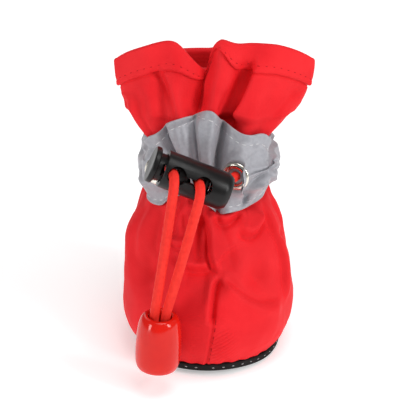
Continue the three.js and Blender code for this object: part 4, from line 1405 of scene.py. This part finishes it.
# %% Insole
insole_outline = outline_of(-wall - 2 * clearance, int(160 * coarse))
low, high = rim_height, rim_height + insole_thickness
insole_profile = [(0, 0, low), (0.5, 0, low), (1, 0.3, low), (1, 0.05, low + 0.3),
                  (1, 0.05, high - 0.4), (1, 0.4, high)]
insole_profile += [(s, 0.0, high) for s in np.linspace(0.96, 0, int(40 * coarse))]
insole_rings = plate_rings(insole_outline, insole_profile)
top = insole_rings[6:]
top[..., 2] += 0.16 * waves(top, 31, 9, 5) - 0.1
insole = capped_piece("insole_cloth", insole_rings, slot="insole_fabric")
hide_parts("insole")
insole.data.materials.append(lining_cloth)

# %% [markdown]
# ## Stitches
#
# Stitches are small: one is a short bead of thread that dives into the cloth at both ends. All stitches
# of a row are one mesh, made by moving one small template along a path.


# %% A row of stitches
bead_rings, bead_sides = 7, 6


def stitch_row(name, path, normals, pitch, length, thick, material, slot=None, sunk=0.15):
    """Copies of a bead, one every pitch along a path. A bead is an ellipse of rings whose height over
    the cloth is an arch, so both of its ends go under. Each point is start + x along + y across + z up."""
    travel = travelled(path)
    count = int(travel[-1] / pitch)
    at = (np.arange(count) + 0.5) * pitch
    centre, ahead = at_distance(at, travel, path), at_distance(at + 0.3, travel, path)
    up = unit(at_distance(at, travel, normals))
    along = unit(ahead - centre)
    across = np.cross(up, along)
    s = np.linspace(-1, 1, bead_rings)
    t = np.linspace(0, 2 * np.pi, bead_sides, endpoint=False)
    r = thick / 2 * np.sqrt(np.maximum(0.02, 1 - s**2))[:, None]
    x = np.repeat(s[:, None] * length / 2, bead_sides, 1)
    y = r * np.cos(t)
    z = r * np.sin(t) + (thick * 0.3 - sunk - (thick * 0.55) * s**2)[:, None]
    bead = np.stack([x, y, z], -1)
    rings = centre[:, None, None]
    for k, way in enumerate((along, across, up)):
        rings = rings + bead[..., k:k + 1] * way[:, None, None]
    first = (np.arange(count) * bead_rings * bead_sides)[:, None, None]
    faces = (grid_faces(bead_rings, bead_sides, False)[None] + first).reshape(-1, 4).tolist()
    end = np.arange(bead_sides)
    caps = np.stack([end[::-1], (bead_rings - 1) * bead_sides + end])
    faces += (caps[None] + first).reshape(-1, bead_sides).tolist()
    row = make_piece(name, rings, faces, slot=slot)
    row.data.materials.append(material)
    return row


print("a bead has", bead_rings * bead_sides, "points")

# %% Rows on the band and the hem
t = np.linspace(0, 2 * np.pi, 900)
for row_name, share, pitch in (("band_top_stitches", 0.89, 2.5), ("band_low_stitches", 0.07, 2.7)):
    s = np.full_like(t, share)
    row_path = band_point(t, s, np.full_like(t, band_wall))
    row_up = outward(t, band_height(t, s), 0.0)
    stitch_row(row_name, row_path, row_up, pitch, 1.7, 0.34, white_thread,
               slot="reflective_band", sunk=0.02)

level = collar_height - (hem_width - 1.8) * hem_share(t)
hem_path = form(t, level) + outward(t, level) * (relief(t, level) + 0.85)[:, None]
stitch_row("hem_stitches", hem_path, outward(t, level), 2.6, 1.2, 0.34, red_thread, slot="upper_fabric")

# %% Rows on the sole and the toe's seam
sole_stitch = outline_of(0.2, 700)
sole_stitch = np.concatenate([sole_stitch, sole_stitch[:1]])
sole_path = np.concatenate([sole_stitch, 1.22 + spring(sole_stitch[:, 1:])], 1)
sole_up = np.concatenate([unit(sole_stitch), np.zeros((len(sole_stitch), 1))], 1)
stitch_row("sole_stitches", sole_path, sole_up, 3.4, 1.0, 0.2, white_thread,
           slot="outsole_rubber", sunk=0.05)

heights = np.linspace(4.0, 23.0, 300)
toe_half_width, seam_aside = 26.5, 0.025
seam_at = (toe_seam_start + toe_seam_slant * heights) / toe_half_width + seam_aside
seam_up = outward(seam_at, heights)
seam_path = form(seam_at, heights) + seam_up * relief(seam_at, heights)[:, None]
stitch_row("toe_seam_stitches", seam_path, seam_up, 2.8, 2.0, 0.34, red_thread,
           slot="upper_fabric", sunk=0.05)

# %% [markdown]
#
# The boxes before and after are kept, to compare the dressed model with the solid one.

# %% Declare and finish
for cord_name, eyelet_name in (("cord_left", "eyelet_left"), ("cord_right", "eyelet_right")):
    cord, path, length = cords[cord_name]

boxes = {"cad": [list(corner) for corner in cad_box], "visual": [list(corner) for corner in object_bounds()]}
print("boxes:", boxes)
